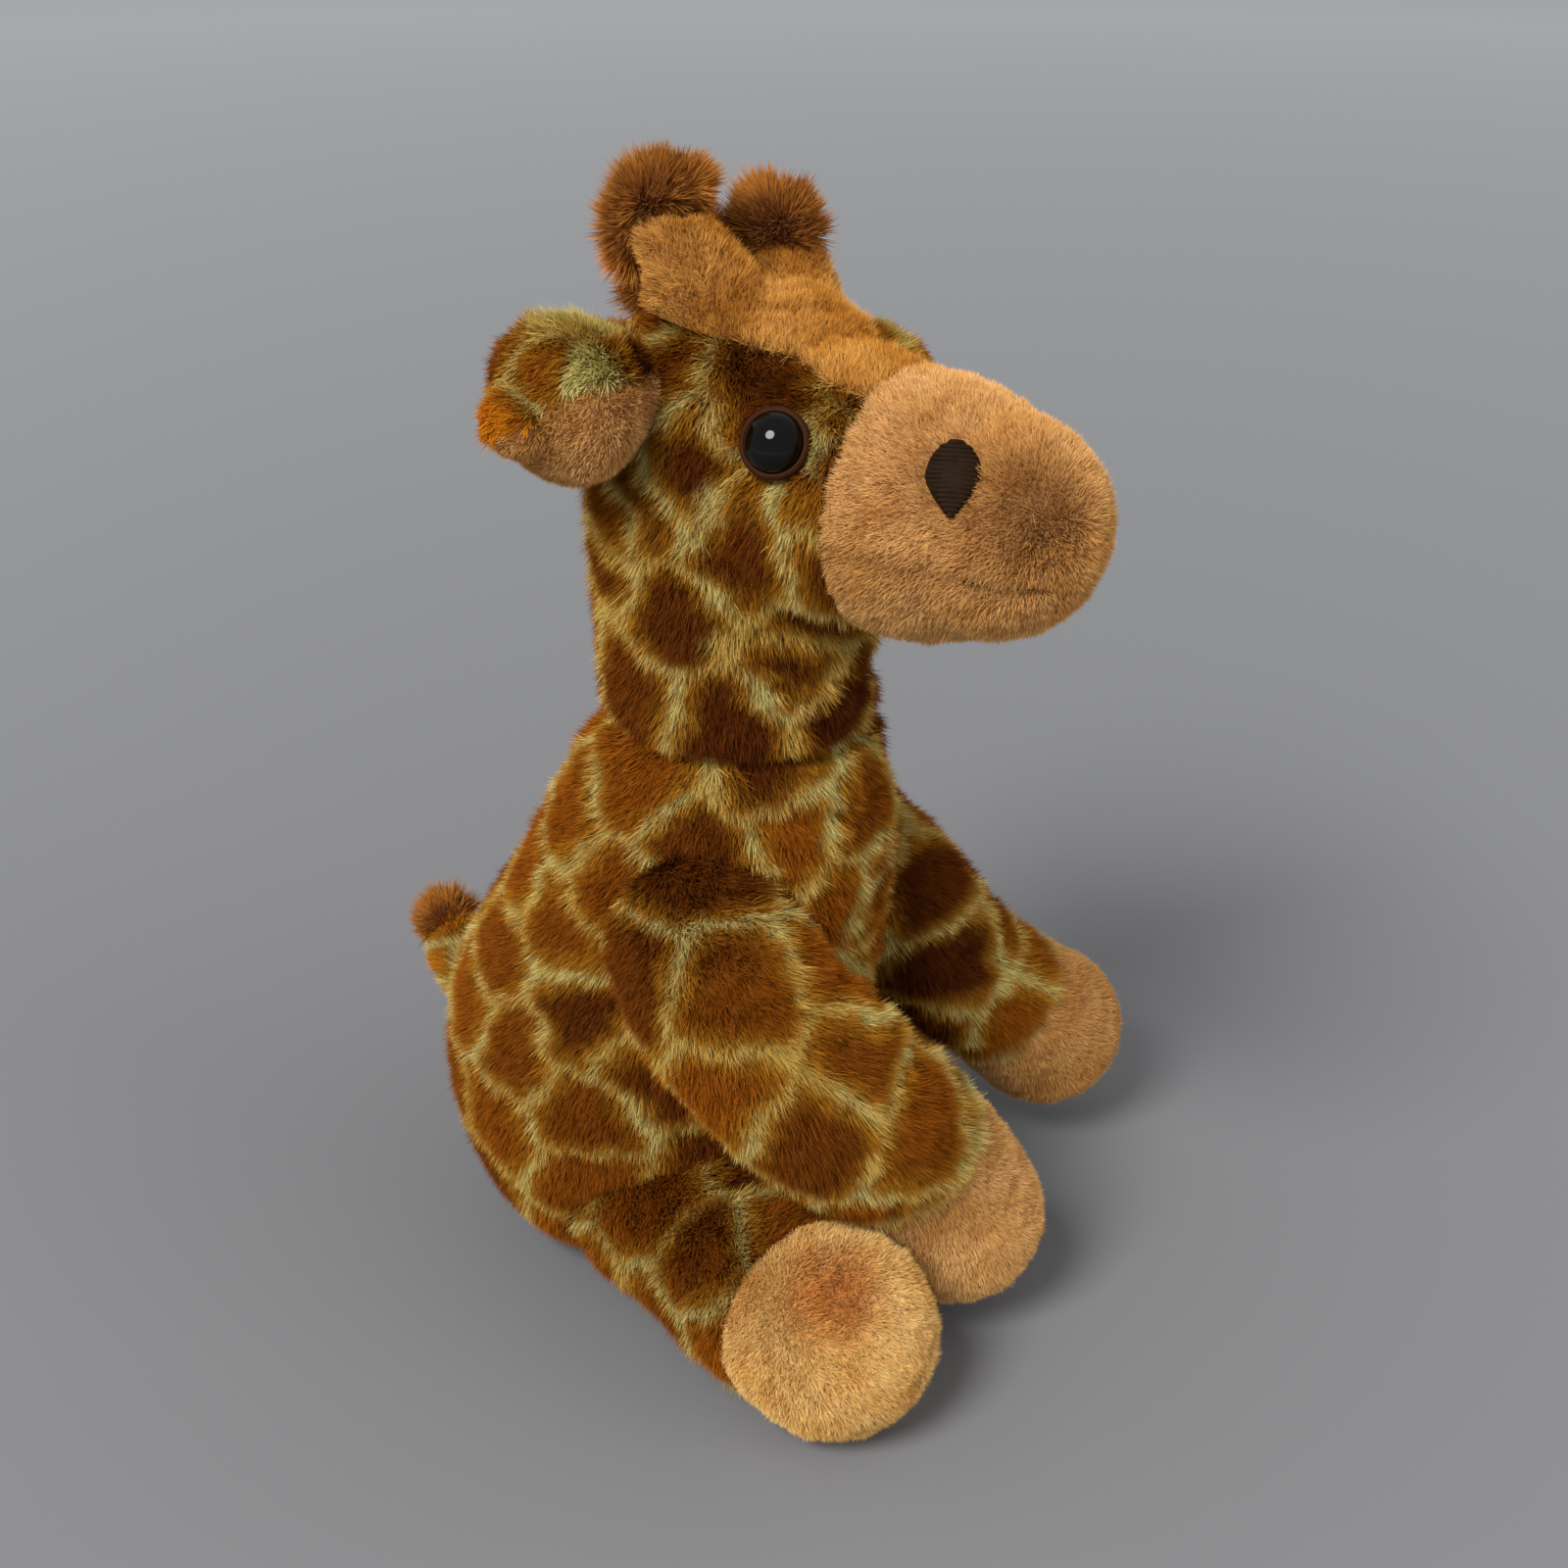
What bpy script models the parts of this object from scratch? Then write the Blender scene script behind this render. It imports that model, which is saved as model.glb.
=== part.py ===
"""A seated plush giraffe: stuffed bags of pile fabric, sewn to each other, over fill and pellets.

+Z is up, the front is -Y and the toy's left is +X. The origin is the middle of the flat seat.
Places in the tables below are (right, forward, up), which place() turns into world coordinates.
"""
import math

import bmesh
import bpy
from mathutils import Matrix, Vector
from mathutils.bvhtree import BVHTree

# Fabrics and clearances
GAP = 0.0003
FILL_GAP = 0.0006
TURN_GAP = 0.0011
PLUSH = 0.0028
BEAN_CLOTH_UP = 0.034
FLOOR_CUT = 0.0005
OVERRUN = 0.060

# Torso: its rings are shares of its height to the neck seam, of its lean and of its radius
TORSO_HEIGHT = 0.146
TORSO_LEAN = 0.0325
TORSO_RADIUS = 0.049
TORSO_RING_SHARES = (
    (0.000, 0.00, 0.33),
    (0.030, 0.00, 0.55),
    (0.085, 0.00, 0.75),
    (0.170, 0.00, 0.88),
    (0.270, 0.00, 0.955),
    (0.360, 0.02, 0.975),
    (0.450, 0.19, 0.95),
    (0.550, 0.42, 0.90),
    (0.660, 0.62, 0.84),
    (0.770, 0.80, 0.79),
    (0.870, 0.92, 0.72),
    (0.950, 0.98, 0.66),
    (1.050, 1.00, 0.63),
    (1.150, 1.02, 0.63),
)

# Neck and head: rings from the neck seam to the crown
HEAD_HEIGHT = 0.105
HEAD_RADIUS = 0.0335
HEAD_LEAN = 0.0045
HEAD_ROLL = math.radians(5)
HEAD_PIVOT_RISE = 0.072
HEAD_RING_SHARES = (
    (-0.100, -0.10, 0.93),
    (0.000, 0.00, 0.93),
    (0.120, 0.20, 0.93),
    (0.250, 0.45, 0.94),
    (0.380, 0.65, 0.98),
    (0.510, 0.80, 1.00),
    (0.630, 0.75, 0.99),
    (0.745, 0.55, 0.91),
    (0.860, 0.33, 0.72),
    (0.940, 0.22, 0.48),
)
CROWN_UP = TORSO_HEIGHT + HEAD_HEIGHT

# Face: a short barrel that stands out of the head, set from the neck seam
FACE_RISE = 0.060
FACE_START = 0.0115
FACE_LENGTH = 0.021
FACE_RADIUS = 0.029
FACE_UP = TORSO_HEIGHT + FACE_RISE
FACE_BACK = TORSO_LEAN + FACE_START
FACE_FRONT = FACE_BACK + FACE_LENGTH
THROAT_DROP = 0.002
THROAT_UP = FACE_UP - FACE_RADIUS - THROAT_DROP
FOREHEAD_HALF_WIDTH = 0.040
FOREHEAD_INSET = 0.026
FOREHEAD_REACH = 0.013
FOREHEAD_RISE = 0.0246
FOREHEAD_SLOPE = math.radians(12)
FOREHEAD_BACK = FACE_BACK - FOREHEAD_INSET
FOREHEAD_FRONT = FACE_FRONT + FOREHEAD_REACH
FOREHEAD_UP = FACE_UP + FOREHEAD_RISE

# Muzzle, with the jaw panel below a sloping seam
MUZZLE_AHEAD = 0.007
MUZZLE_DROP = 0.0032
MUZZLE_LENGTH = 0.0285
MUZZLE_RADIUS = 0.0270
MUZZLE_SHARES = ((0.0, 1.00), (0.6, 0.97), (1.0, 0.82))
MUZZLE_ROOT = FACE_FRONT + MUZZLE_AHEAD
MUZZLE_UP = FACE_UP - MUZZLE_DROP
JAW_SEAM_DROP = 0.0045
JAW_SEAM_UP = MUZZLE_UP - JAW_SEAM_DROP
JAW_SEAM_TILT = math.radians(4)

# Eyes: domed buttons on stems, held by washers inside
EYE_OUT = 0.028
EYE_AHEAD = 0.0015
EYE_RISE = 0.0095
EYE_RADIUS = 0.0058
EYE_DOME = 0.0042
EYE_RIM = 0.0009
EYE_STEM_RADIUS = 0.0018
EYE_STEM_LENGTH = 0.0095
WASHER_RADIUS = 0.0062
WASHER_THICKNESS = 0.0014

# Nostrils: stitched teardrops
NOSTRIL_OUT = 0.0215
NOSTRIL_AHEAD = 0.033
NOSTRIL_RISE = 0.0132
NOSTRIL_HALF_WIDTH = 0.0052
NOSTRIL_HALF_HEIGHT = 0.0082
NOSTRIL_DEPTH = 0.0016
NOSTRIL_POINT_SHARE = 0.45

# Horns, their tufts and the crest behind them
HORN_OUT = 0.0162
HORN_BACK = 0.0055
HORN_SINK = 0.013
HORN_LENGTH = 0.016
HORN_RADIUS = 0.0062
TUFT_RADIUS = 0.0105
TUFT_RISES = {"right": 0.0040, "left": 0.0}
MANE_RADIUS = 0.0085
MANE_REACH = 0.0125
MANE_BACK = 0.0160
MANE_SINK = 0.0035
MANE_SHARES = ((0.00, 0.00), (0.56, 0.32), (0.88, 1.00))

# Ears: hoods that open forward and down, thin at their rims
EAR_OUT = 0.0030
EAR_BACK = 0.0035
EAR_RISE = 0.0125
EAR_LENGTH = 0.0258
EAR_DROOPS = {"right": 0.0045, "left": 0.0240}
EAR_RADIUS = 0.0142
EAR_WALL = 0.0042
EAR_LINING = 0.0016
EAR_SHARES = ((0.00, 0.00, 0.50), (0.33, -0.10, 0.92), (0.66, 0.28, 0.90), (1.00, 1.00, 0.44))
EAR_MOUTH_TILT = math.radians(32)
EAR_SWINGS = (0, -20, 20)

# Arms, from shoulder to hoof: shares of the reach across, forward and down, and of the radius
ARM_RADIUS = 0.0225
ARM_SEAM_INSET = 0.0015
NEAR_SHOULDER_OUT = 0.024
NEAR_SHOULDER_FORWARD = 0.042
NEAR_SHOULDER_DROP = 0.040
NEAR_ARM_ACROSS = 0.0415
NEAR_ARM_FORWARD = 0.040
NEAR_ARM_DOWN = 0.079
FAR_SHOULDER_OUT = 0.031
FAR_SHOULDER_FORWARD = 0.028
FAR_SHOULDER_DROP = 0.043
FAR_ARM_ACROSS = 0.0625
FAR_ARM_FORWARD = 0.024
FAR_ARM_DOWN = 0.072
ARMS = {
    "right": {
        "shoulder": (NEAR_SHOULDER_OUT, NEAR_SHOULDER_FORWARD, TORSO_HEIGHT - NEAR_SHOULDER_DROP),
        "reach": (-NEAR_ARM_ACROSS, NEAR_ARM_FORWARD, -NEAR_ARM_DOWN),
        "shares": ((0.00, 0.00, 0.00, 0.93), (-0.13, 0.42, 0.17, 0.96), (0.16, 0.77, 0.43, 0.96),
                   (0.72, 0.94, 0.75, 0.87), (1.00, 1.00, 1.00, 0.92)),
        "normal_shares": (0.48, 0.84, -0.26),
        "cuff_share": 0.76,
        "swings": (0, 15, 30),
    },
    "left": {
        "shoulder": (-FAR_SHOULDER_OUT, FAR_SHOULDER_FORWARD, TORSO_HEIGHT - FAR_SHOULDER_DROP),
        "reach": (-FAR_ARM_ACROSS, FAR_ARM_FORWARD, -FAR_ARM_DOWN),
        "shares": ((0.00, 0.00, 0.00, 0.84), (0.28, 0.38, 0.30, 0.82), (0.56, 0.63, 0.63, 0.78),
                   (0.85, 0.92, 0.88, 0.84), (1.00, 1.00, 1.00, 0.90)),
        "normal_shares": (-0.94, 0.34, 0.00),
        "cuff_share": 0.74,
        "swings": (0, -45, -30, -15, 8),
    },
}

# Legs, from hip to foot: shares of the reach across and forward, and of the radius
LEG_RADIUS = 0.0225
HIP_UP = 0.0220
NEAR_HIP_OUT = 0.0209
NEAR_HIP_FORWARD = 0.024
NEAR_LEG_ACROSS = 0.0085
NEAR_LEG_FORWARD = 0.062
FAR_HIP_OUT = 0.0250
FAR_HIP_FORWARD = 0.012
FAR_LEG_ACROSS = 0.0590
FAR_LEG_BACK = 0.012
LEGS = {
    "right": {
        "hip": (NEAR_HIP_OUT, NEAR_HIP_FORWARD),
        "reach": (NEAR_LEG_ACROSS, NEAR_LEG_FORWARD),
        "shares": ((0.00, 0.00, 0.910), (0.20, 0.28, 0.915), (0.62, 0.54, 0.915), (0.88, 0.77, 0.93),
                   (1.00, 1.00, 1.00)),
        "ankle_share": 0.70,
    },
    "left": {
        "hip": (-FAR_HIP_OUT, FAR_HIP_FORWARD),
        "reach": (-FAR_LEG_ACROSS, -FAR_LEG_BACK),
        "shares": ((0.00, 0.00, 0.910), (0.26, 0.26, 0.915), (0.52, 0.56, 0.915), (0.77, 0.83, 0.93),
                   (1.00, 1.00, 1.00)),
        "ankle_share": 0.70,
    },
}
HIP_OPENING_RADIUS = 0.008
HIP_SWINGS = (0, 15, 30)

# Tail
TAIL_RADIUS = 0.0085
TAIL_OUT = 0.0055
TAIL_UP = 0.0390
TAIL_REACH = 0.0290
TAIL_RISE = 0.0165
TAIL_SHARES = ((0.00, 0.00, 0.90), (0.42, 0.16, 1.00), (0.75, 0.50, 1.00), (0.90, 0.85, 0.82))
TAIL_TUFT_RADIUS = 0.0080

# How finely the forms that must agree with each other are divided
HEAD_SHAPE = {"sides": 16, "steps": 1, "caps": 1, "cap_shares": (0.2, 0.25)}
TORSO_SHAPE = {"sides": 16, "steps": 1, "caps": 1, "cap_shares": (0.03, 0.2)}
HEAD_HOLLOW_SHAPE = {"sides": 12, "steps": 1, "caps": 1, "cap_shares": (0.2, 0.12)}
TORSO_HOLLOW_SHAPE = {"sides": 12, "steps": 1, "caps": 1, "cap_shares": (0, 0.2)}
FACE_SHAPE = {"sides": 16, "steps": 1, "caps": 4}
FACE_HOLLOW_SHAPE = {"sides": 12, "steps": 1, "caps": 4}
MUZZLE_SHAPE = {"sides": 16, "steps": 2, "caps": 4}
ARM_SHAPE = {"sides": 12, "steps": 2, "caps": 3, "across": Vector((1, 0, 0))}
LEG_SHAPE = {"sides": 12, "steps": 2, "caps": 3, "across": Vector((0, 0, 1))}
EAR_SHAPE = {"sides": 12, "steps": 1, "caps": 2}

COLOURS = {
    "patch_plush": ((0.30, 0.12, 0.03), 0.95),
    "gold_plush": ((0.42, 0.22, 0.07), 0.95),
    "tan_velour": ((0.55, 0.34, 0.15), 0.90),
    "pale_velour": ((0.72, 0.52, 0.30), 0.90),
    "tuft_pile": ((0.22, 0.07, 0.02), 0.98),
    "black_button": ((0.01, 0.008, 0.007), 0.08),
    "nostril_thread": ((0.05, 0.02, 0.01), 0.80),
    "white_fill": ((0.85, 0.84, 0.80), 1.00),
    "pellet_fill": ((0.80, 0.78, 0.70), 0.60),
    "washer_plastic": ((0.80, 0.80, 0.78), 0.40),
}

model = None
cutters = None


def place(right, forward, up):
    """A place on the toy as world coordinates."""
    return Vector((-right, -forward, up))


def head_pivot():
    return place(0, FACE_BACK, TORSO_HEIGHT + HEAD_PIVOT_RISE)


def head_turn():
    """The head leans a little toward the toy's left."""
    return Matrix.Rotation(HEAD_ROLL, 4, "Y")


def head_place(right, forward, up):
    """A place on the head, which leans about its pivot."""
    return head_pivot() + head_turn() @ (place(right, forward, up) - head_pivot())


def collection(name):
    made = bpy.data.collections.new(name)
    bpy.context.scene.collection.children.link(made)
    return made


def material(name):
    made = bpy.data.materials.get(name)
    if made:
        return made
    colour, roughness = COLOURS[name]
    made = bpy.data.materials.new(name)
    made.use_nodes = True
    shader = made.node_tree.nodes["Principled BSDF"]
    shader.inputs["Base Color"].default_value = (*colour, 1.0)
    shader.inputs["Roughness"].default_value = roughness
    shader.inputs["Metallic"].default_value = 0.0
    return made


def add_object(name, mesh, look=None):
    """An object of the model, or a hidden cutter when it has no look."""
    made = bpy.data.objects.new(name, mesh)
    if look:
        model.objects.link(made)
        mesh.materials.append(material(look))
    else:
        cutters.objects.link(made)
        made.hide_render = True
        made.display_type = "WIRE"
    return made


def boolean(target, tool, operation, solver="EXACT"):
    step = target.modifiers.new(operation.title() + " " + tool.name, "BOOLEAN")
    step.operation = operation
    step.object = tool
    step.solver = solver


def cut(target, *tools):
    for tool in tools:
        boolean(target, tool, "DIFFERENCE")


def cut_many(target, *tools):
    """Cuts whose edges cross each other, which the exact solver can lose."""
    for tool in tools:
        boolean(target, tool, "DIFFERENCE", "MANIFOLD")


def keep(target, tool, solver="EXACT"):
    boolean(target, tool, "INTERSECT", solver)


def join(target, tool):
    boolean(target, tool, "UNION")


def curve_point(stations, index, share):
    """A point and radius on the smooth line through the stations, share of the way past one of them."""
    last = len(stations) - 1
    near = [stations[min(max(index + shift, 0), last)] for shift in (-1, 0, 1, 2)]
    weights = (
        (-share + 2 * share**2 - share**3) / 2,
        (2 - 5 * share**2 + 3 * share**3) / 2,
        (share + 4 * share**2 - 3 * share**3) / 2,
        (share**3 - share**2) / 2,
    )
    centre = Vector((0, 0, 0))
    radius = 0
    for (place_on_line, radius_there), weight in zip(near, weights):
        centre += place_on_line * weight
        radius += radius_there * weight
    return centre, radius


def form_rings(stations, steps, caps, cap_shares):
    """Rings (centre, radius) of a rounded form through the stations, with its two end points."""
    path = []
    for index in range(len(stations) - 1):
        for step in range(steps):
            path.append(curve_point(stations, index, step / steps))
    path.append(stations[-1])
    start_way = (path[1][0] - path[0][0]).normalized()
    end_way = (path[-1][0] - path[-2][0]).normalized()
    start, start_radius = path[0]
    end, end_radius = path[-1]
    first_rings = []
    last_rings = []
    for ring in range(1, caps):
        turn = math.radians(90) * ring / caps
        rise = math.cos(turn)
        first_rings.append((start - start_way * start_radius * cap_shares[0] * rise,
                            start_radius * math.sin(turn)))
        last_rings.insert(0, (end + end_way * end_radius * cap_shares[1] * rise, end_radius * math.sin(turn)))
    start_tip = start - start_way * start_radius * cap_shares[0]
    end_tip = end + end_way * end_radius * cap_shares[1]
    return start_tip, first_rings + path + last_rings, end_tip


def stuffed_form(name, stations, look=None, grow=0, sides=16, steps=2, caps=3, cap_shares=(1, 1),
                 across=Vector((1, 0, 0))):
    """A sphere whose rings are moved along the stations, which are (place, radius)."""
    grown = [(where, radius + grow) for where, radius in stations]
    start_tip, rings, end_tip = form_rings(grown, steps, caps, cap_shares)
    segments = len(rings) + 1
    sphere = bmesh.new()
    bmesh.ops.create_uvsphere(sphere, u_segments=sides, v_segments=segments, radius=1)
    centres = [start_tip] + [centre for centre, radius in rings] + [end_tip]
    for vert in sphere.verts:
        ring = round(segments * math.acos(max(-1, min(1, -vert.co.z))) / math.pi)
        if ring == 0:
            vert.co = start_tip
        elif ring == segments:
            vert.co = end_tip
        else:
            way = (centres[ring + 1] - centres[ring - 1]).normalized()
            side = (across - way * across.dot(way)).normalized()
            deep = way.cross(side)
            turn = math.atan2(vert.co.y, vert.co.x)
            centre, radius = rings[ring - 1]
            vert.co = centre + (side * math.cos(turn) + deep * math.sin(turn)) * radius
    mesh = bpy.data.meshes.new(name)
    sphere.to_mesh(mesh)
    sphere.free()
    mesh.shade_smooth()
    return add_object(name, mesh, look)


def block(name, centre, size, turn=None):
    """A box cutter."""
    box = bmesh.new()
    bmesh.ops.create_cube(box, size=1)
    bmesh.ops.scale(box, vec=size, verts=box.verts)
    mesh = bpy.data.meshes.new(name)
    box.to_mesh(mesh)
    box.free()
    made = add_object(name, mesh)
    made.matrix_world = Matrix.Translation(centre) @ (turn or Matrix())
    return made


def half_space(name, point, normal):
    """A cutter that takes away everything past a plane, on the side that its normal points to."""
    way = normal.normalized()
    turn = way.to_track_quat("Z", "Y").to_matrix().to_4x4()
    edge = OVERRUN * 4
    return block(name, point + way * edge / 2, Vector((edge, edge, edge)), turn)


def rod(name, start, end, radius, look=None, sides=16):
    """A cylinder from one place to another."""
    way = end - start
    cylinder = bmesh.new()
    bmesh.ops.create_cone(cylinder, cap_ends=True, segments=sides, radius1=radius, radius2=radius,
                          depth=way.length)
    mesh = bpy.data.meshes.new(name)
    cylinder.to_mesh(mesh)
    cylinder.free()
    made = add_object(name, mesh, look)
    turn = way.to_track_quat("Z", "Y").to_matrix().to_4x4()
    made.matrix_world = Matrix.Translation((start + end) / 2) @ turn
    return made


def joint_axis(name, point):
    """An empty on a joint's axis, which carries the moving pieces."""
    made = bpy.data.objects.new(name, None)
    made.location = point
    model.objects.link(made)
    return made


def hang(axis, *pieces):
    for piece in pieces:
        piece.parent = axis
        piece.matrix_parent_inverse = Matrix.Translation(-axis.location)


def turn_about(tool, pivot, axis, degrees):
    """Turns a cutter about an axis through a pivot, for the places that a moving piece passes."""
    turn = Matrix.Rotation(math.radians(degrees), 4, axis)
    tool.matrix_world = Matrix.Translation(pivot) @ turn @ Matrix.Translation(-pivot)


def surface_hit(stations, inside, outside, **form):
    """Where the line from inside to outside leaves a form, and the way the form faces there."""
    guide = stuffed_form("guide", stations, **form)
    tree = BVHTree.FromPolygons([vert.co for vert in guide.data.vertices],
                                [face.vertices for face in guide.data.polygons])
    way = (outside - inside).normalized()
    point, normal, face, distance = tree.ray_cast(inside, way)
    bpy.data.objects.remove(guide, do_unlink=True)
    return point, way


def torso_stations(seat_wall=0):
    """The torso's rings, with the lowest one raised off the seat by a wall for what lies inside."""
    stations = [(place(0, TORSO_LEAN * lean, TORSO_HEIGHT * up), TORSO_RADIUS * radius)
                for up, lean, radius in TORSO_RING_SHARES]
    seat, seat_radius = stations[0]
    stations[0] = (seat + Vector((0, 0, seat_wall)), seat_radius)
    return stations


def head_stations():
    """The head's rings, which take up its lean between the neck seam and half its height."""
    stations = []
    for up, lean, radius in HEAD_RING_SHARES:
        point = (0, TORSO_LEAN + HEAD_LEAN * lean, TORSO_HEIGHT + HEAD_HEIGHT * up)
        lean_share = min(1, max(0, up * 2))
        stations.append((place(*point).lerp(head_place(*point), lean_share), HEAD_RADIUS * radius))
    return stations


def face_stations():
    return [(head_place(0, forward, FACE_UP), FACE_RADIUS) for forward in (FACE_BACK, FACE_FRONT)]


def muzzle_stations():
    return [(head_place(0, MUZZLE_ROOT + MUZZLE_LENGTH * along, MUZZLE_UP), MUZZLE_RADIUS * radius)
            for along, radius in MUZZLE_SHARES]


def arm_stations(side):
    arm = ARMS[side]
    start = place(*arm["shoulder"])
    right, forward, up = arm["reach"]
    return [(start + place(right * across, forward * ahead, up * down), ARM_RADIUS * radius)
            for across, ahead, down, radius in arm["shares"]]


def leg_stations(side):
    leg = LEGS[side]
    hip = place(*leg["hip"], HIP_UP)
    right, forward = leg["reach"]
    stations = []
    for across, ahead, radius_share in leg["shares"]:
        radius = LEG_RADIUS * radius_share
        centre = hip + place(right * across, forward * ahead, 0)
        rest_up = radius - FLOOR_CUT
        centre.z = rest_up + (HIP_UP - rest_up) * (1 - max(across, ahead))
        stations.append((centre, radius))
    return stations


def part_way(stations, share):
    """A place and the direction of travel, share of the way along the stations."""
    along = share * (len(stations) - 1)
    index = min(int(along), len(stations) - 2)
    point = curve_point(stations, index, along - index)[0]
    ahead = curve_point(stations, index, min(along - index + 0.1, 1))[0]
    return point, (ahead - point).normalized()


def build_torso(floor):
    inside = torso_stations(PLUSH + FILL_GAP)
    skin = stuffed_form("body_skin", torso_stations(), "patch_plush", **TORSO_SHAPE)
    hollow = stuffed_form("torso hollow", torso_stations(PLUSH), grow=-PLUSH, **TORSO_HOLLOW_SHAPE)
    fill = stuffed_form("body_fibrefill", inside, "white_fill", grow=-PLUSH - FILL_GAP, **TORSO_HOLLOW_SHAPE)
    bag = stuffed_form("seat_bean_bag", inside, "pellet_fill", grow=-PLUSH - FILL_GAP, **TORSO_HOLLOW_SHAPE)
    seam = place(0, TORSO_LEAN, TORSO_HEIGHT)
    above_seam = half_space("above neck seam", seam, Vector((0, 0, 1)))
    above_bag = half_space("above bean bag", place(0, 0, BEAN_CLOTH_UP), Vector((0, 0, 1)))
    below_fill = half_space("below fibrefill", place(0, 0, BEAN_CLOTH_UP + GAP), Vector((0, 0, -1)))
    cut(skin, hollow, above_seam, floor)
    cut(fill, above_seam, below_fill)
    cut(bag, above_bag)
    return skin, fill, bag


def build_head():
    stations = head_stations()
    seam = place(0, TORSO_LEAN, TORSO_HEIGHT + GAP)
    upright = head_turn() @ Vector((0, 0, 1))
    throat = head_place(0, TORSO_LEAN, THROAT_UP)
    below_seam = half_space("below neck seam", seam, Vector((0, 0, -1)))
    above_throat = half_space("above throat seam", throat, upright)
    below_throat = half_space("below throat seam", throat + upright * GAP, -upright)
    neck = stuffed_form("neck_skin", stations, "patch_plush", **HEAD_SHAPE)
    skin = stuffed_form("head_skin", stations, "patch_plush", **HEAD_SHAPE)
    face = stuffed_form("face form", face_stations(), **FACE_SHAPE)
    hollow = stuffed_form("head hollow", stations, grow=-PLUSH, **HEAD_HOLLOW_SHAPE)
    face_hollow = stuffed_form("face hollow", face_stations(), grow=-PLUSH, **FACE_HOLLOW_SHAPE)
    join(skin, face)
    join(hollow, face_hollow)
    cut_many(neck, hollow, below_seam, above_throat)
    cut_many(skin, hollow, below_throat)
    fill = stuffed_form("head_fibrefill", stations, "white_fill", grow=-PLUSH - FILL_GAP, **HEAD_HOLLOW_SHAPE)
    face_fill = stuffed_form("face fill", face_stations(), grow=-PLUSH - FILL_GAP, **FACE_HOLLOW_SHAPE)
    join(fill, face_fill)
    cut(fill, below_seam)
    middle = (FOREHEAD_BACK + FOREHEAD_FRONT) / 2
    depth = FOREHEAD_FRONT - FOREHEAD_BACK
    slope = head_turn() @ Matrix.Rotation(FOREHEAD_SLOPE, 4, "X")
    centre = head_place(0, middle, FOREHEAD_UP) + slope @ Vector((0, 0, OVERRUN / 2))
    panel = stuffed_form("forehead_panel", stations, "gold_plush", **HEAD_SHAPE)
    join(panel, face)
    cut(panel, hollow)
    outline = Vector((FOREHEAD_HALF_WIDTH * 2, depth, OVERRUN))
    seam_room = Vector((GAP * 2, GAP * 2, GAP * 2))
    keep(panel, block("forehead outline", centre, outline, slope))
    cut(skin, block("forehead room", centre, outline + seam_room, slope))
    head_clear = stuffed_form("head clearance", stations, grow=GAP, **HEAD_SHAPE)
    face_clear = stuffed_form("face clearance", face_stations(), grow=GAP, **FACE_SHAPE)
    return (neck, skin, fill, panel), (head_clear, face_clear)


def build_muzzle(clear):
    jaw_tilt = head_turn() @ Vector((0, -math.sin(JAW_SEAM_TILT), math.cos(JAW_SEAM_TILT)))
    jaw_point = head_place(0, MUZZLE_ROOT, JAW_SEAM_UP)
    above_jaw = half_space("above jaw seam", jaw_point, jaw_tilt)
    below_muzzle = half_space("below jaw seam", jaw_point + jaw_tilt * GAP, -jaw_tilt)
    muzzle = stuffed_form("muzzle", muzzle_stations(), "tan_velour", **MUZZLE_SHAPE)
    jaw = stuffed_form("lower_jaw", muzzle_stations(), "tan_velour", **MUZZLE_SHAPE)
    cut(muzzle, *clear, below_muzzle)
    cut(jaw, *clear, above_jaw)
    return muzzle, jaw


def build_eye(side, skin, fill):
    sign = 1 if side == "right" else -1
    inside = head_place(0, FACE_FRONT, FACE_UP)
    aim = head_place(sign * EYE_OUT, FACE_FRONT + EYE_AHEAD, FACE_UP + EYE_RISE)
    point, way = surface_hit(face_stations(), inside, aim, **FACE_SHAPE)
    seat = point + way * GAP
    turn = way.to_track_quat("Z", "Y").to_matrix().to_4x4()
    profile = bmesh.new()
    outline = [(0, EYE_DOME + EYE_RIM)]
    for step in range(1, 5):
        angle = math.radians(90) * step / 4
        outline.append((EYE_RADIUS * math.sin(angle), EYE_RIM + EYE_DOME * math.cos(angle)))
    outline += [(EYE_RADIUS, 0), (EYE_STEM_RADIUS, 0)]
    outline += [(EYE_STEM_RADIUS, -EYE_STEM_LENGTH), (0, -EYE_STEM_LENGTH)]
    points = [profile.verts.new((across, 0, up)) for across, up in outline]
    for first, second in zip(points, points[1:]):
        profile.edges.new((first, second))
    mesh = bpy.data.meshes.new("eye_" + side)
    profile.to_mesh(mesh)
    profile.free()
    eye = add_object("eye_" + side, mesh, "black_button")
    eye.matrix_world = Matrix.Translation(seat) @ turn
    screw = eye.modifiers.new("Turn", "SCREW")
    screw.steps = 12
    screw.render_steps = 12
    screw.use_merge_vertices = True
    screw.merge_threshold = EYE_STEM_RADIUS / 50
    inner_face = point - way * (PLUSH + GAP)
    washer = rod("eye_washer_" + side, inner_face, inner_face - way * WASHER_THICKNESS, WASHER_RADIUS,
                 "washer_plastic", sides=12)
    eye_room = rod("eye room " + side, point, point + way * OVERRUN, EYE_RADIUS + GAP)
    stem_room = rod("stem room " + side, point + way * OVERRUN, seat - way * (EYE_STEM_LENGTH + GAP),
                    EYE_STEM_RADIUS + GAP, sides=12)
    washer_room = rod("washer room " + side, inner_face + way * GAP,
                      inner_face - way * (WASHER_THICKNESS + GAP), WASHER_RADIUS + GAP * 2, sides=12)
    cut_many(skin, eye_room, stem_room, washer_room)
    cut(washer, stem_room)
    cut(fill, stem_room, washer_room)
    return eye, washer


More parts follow.
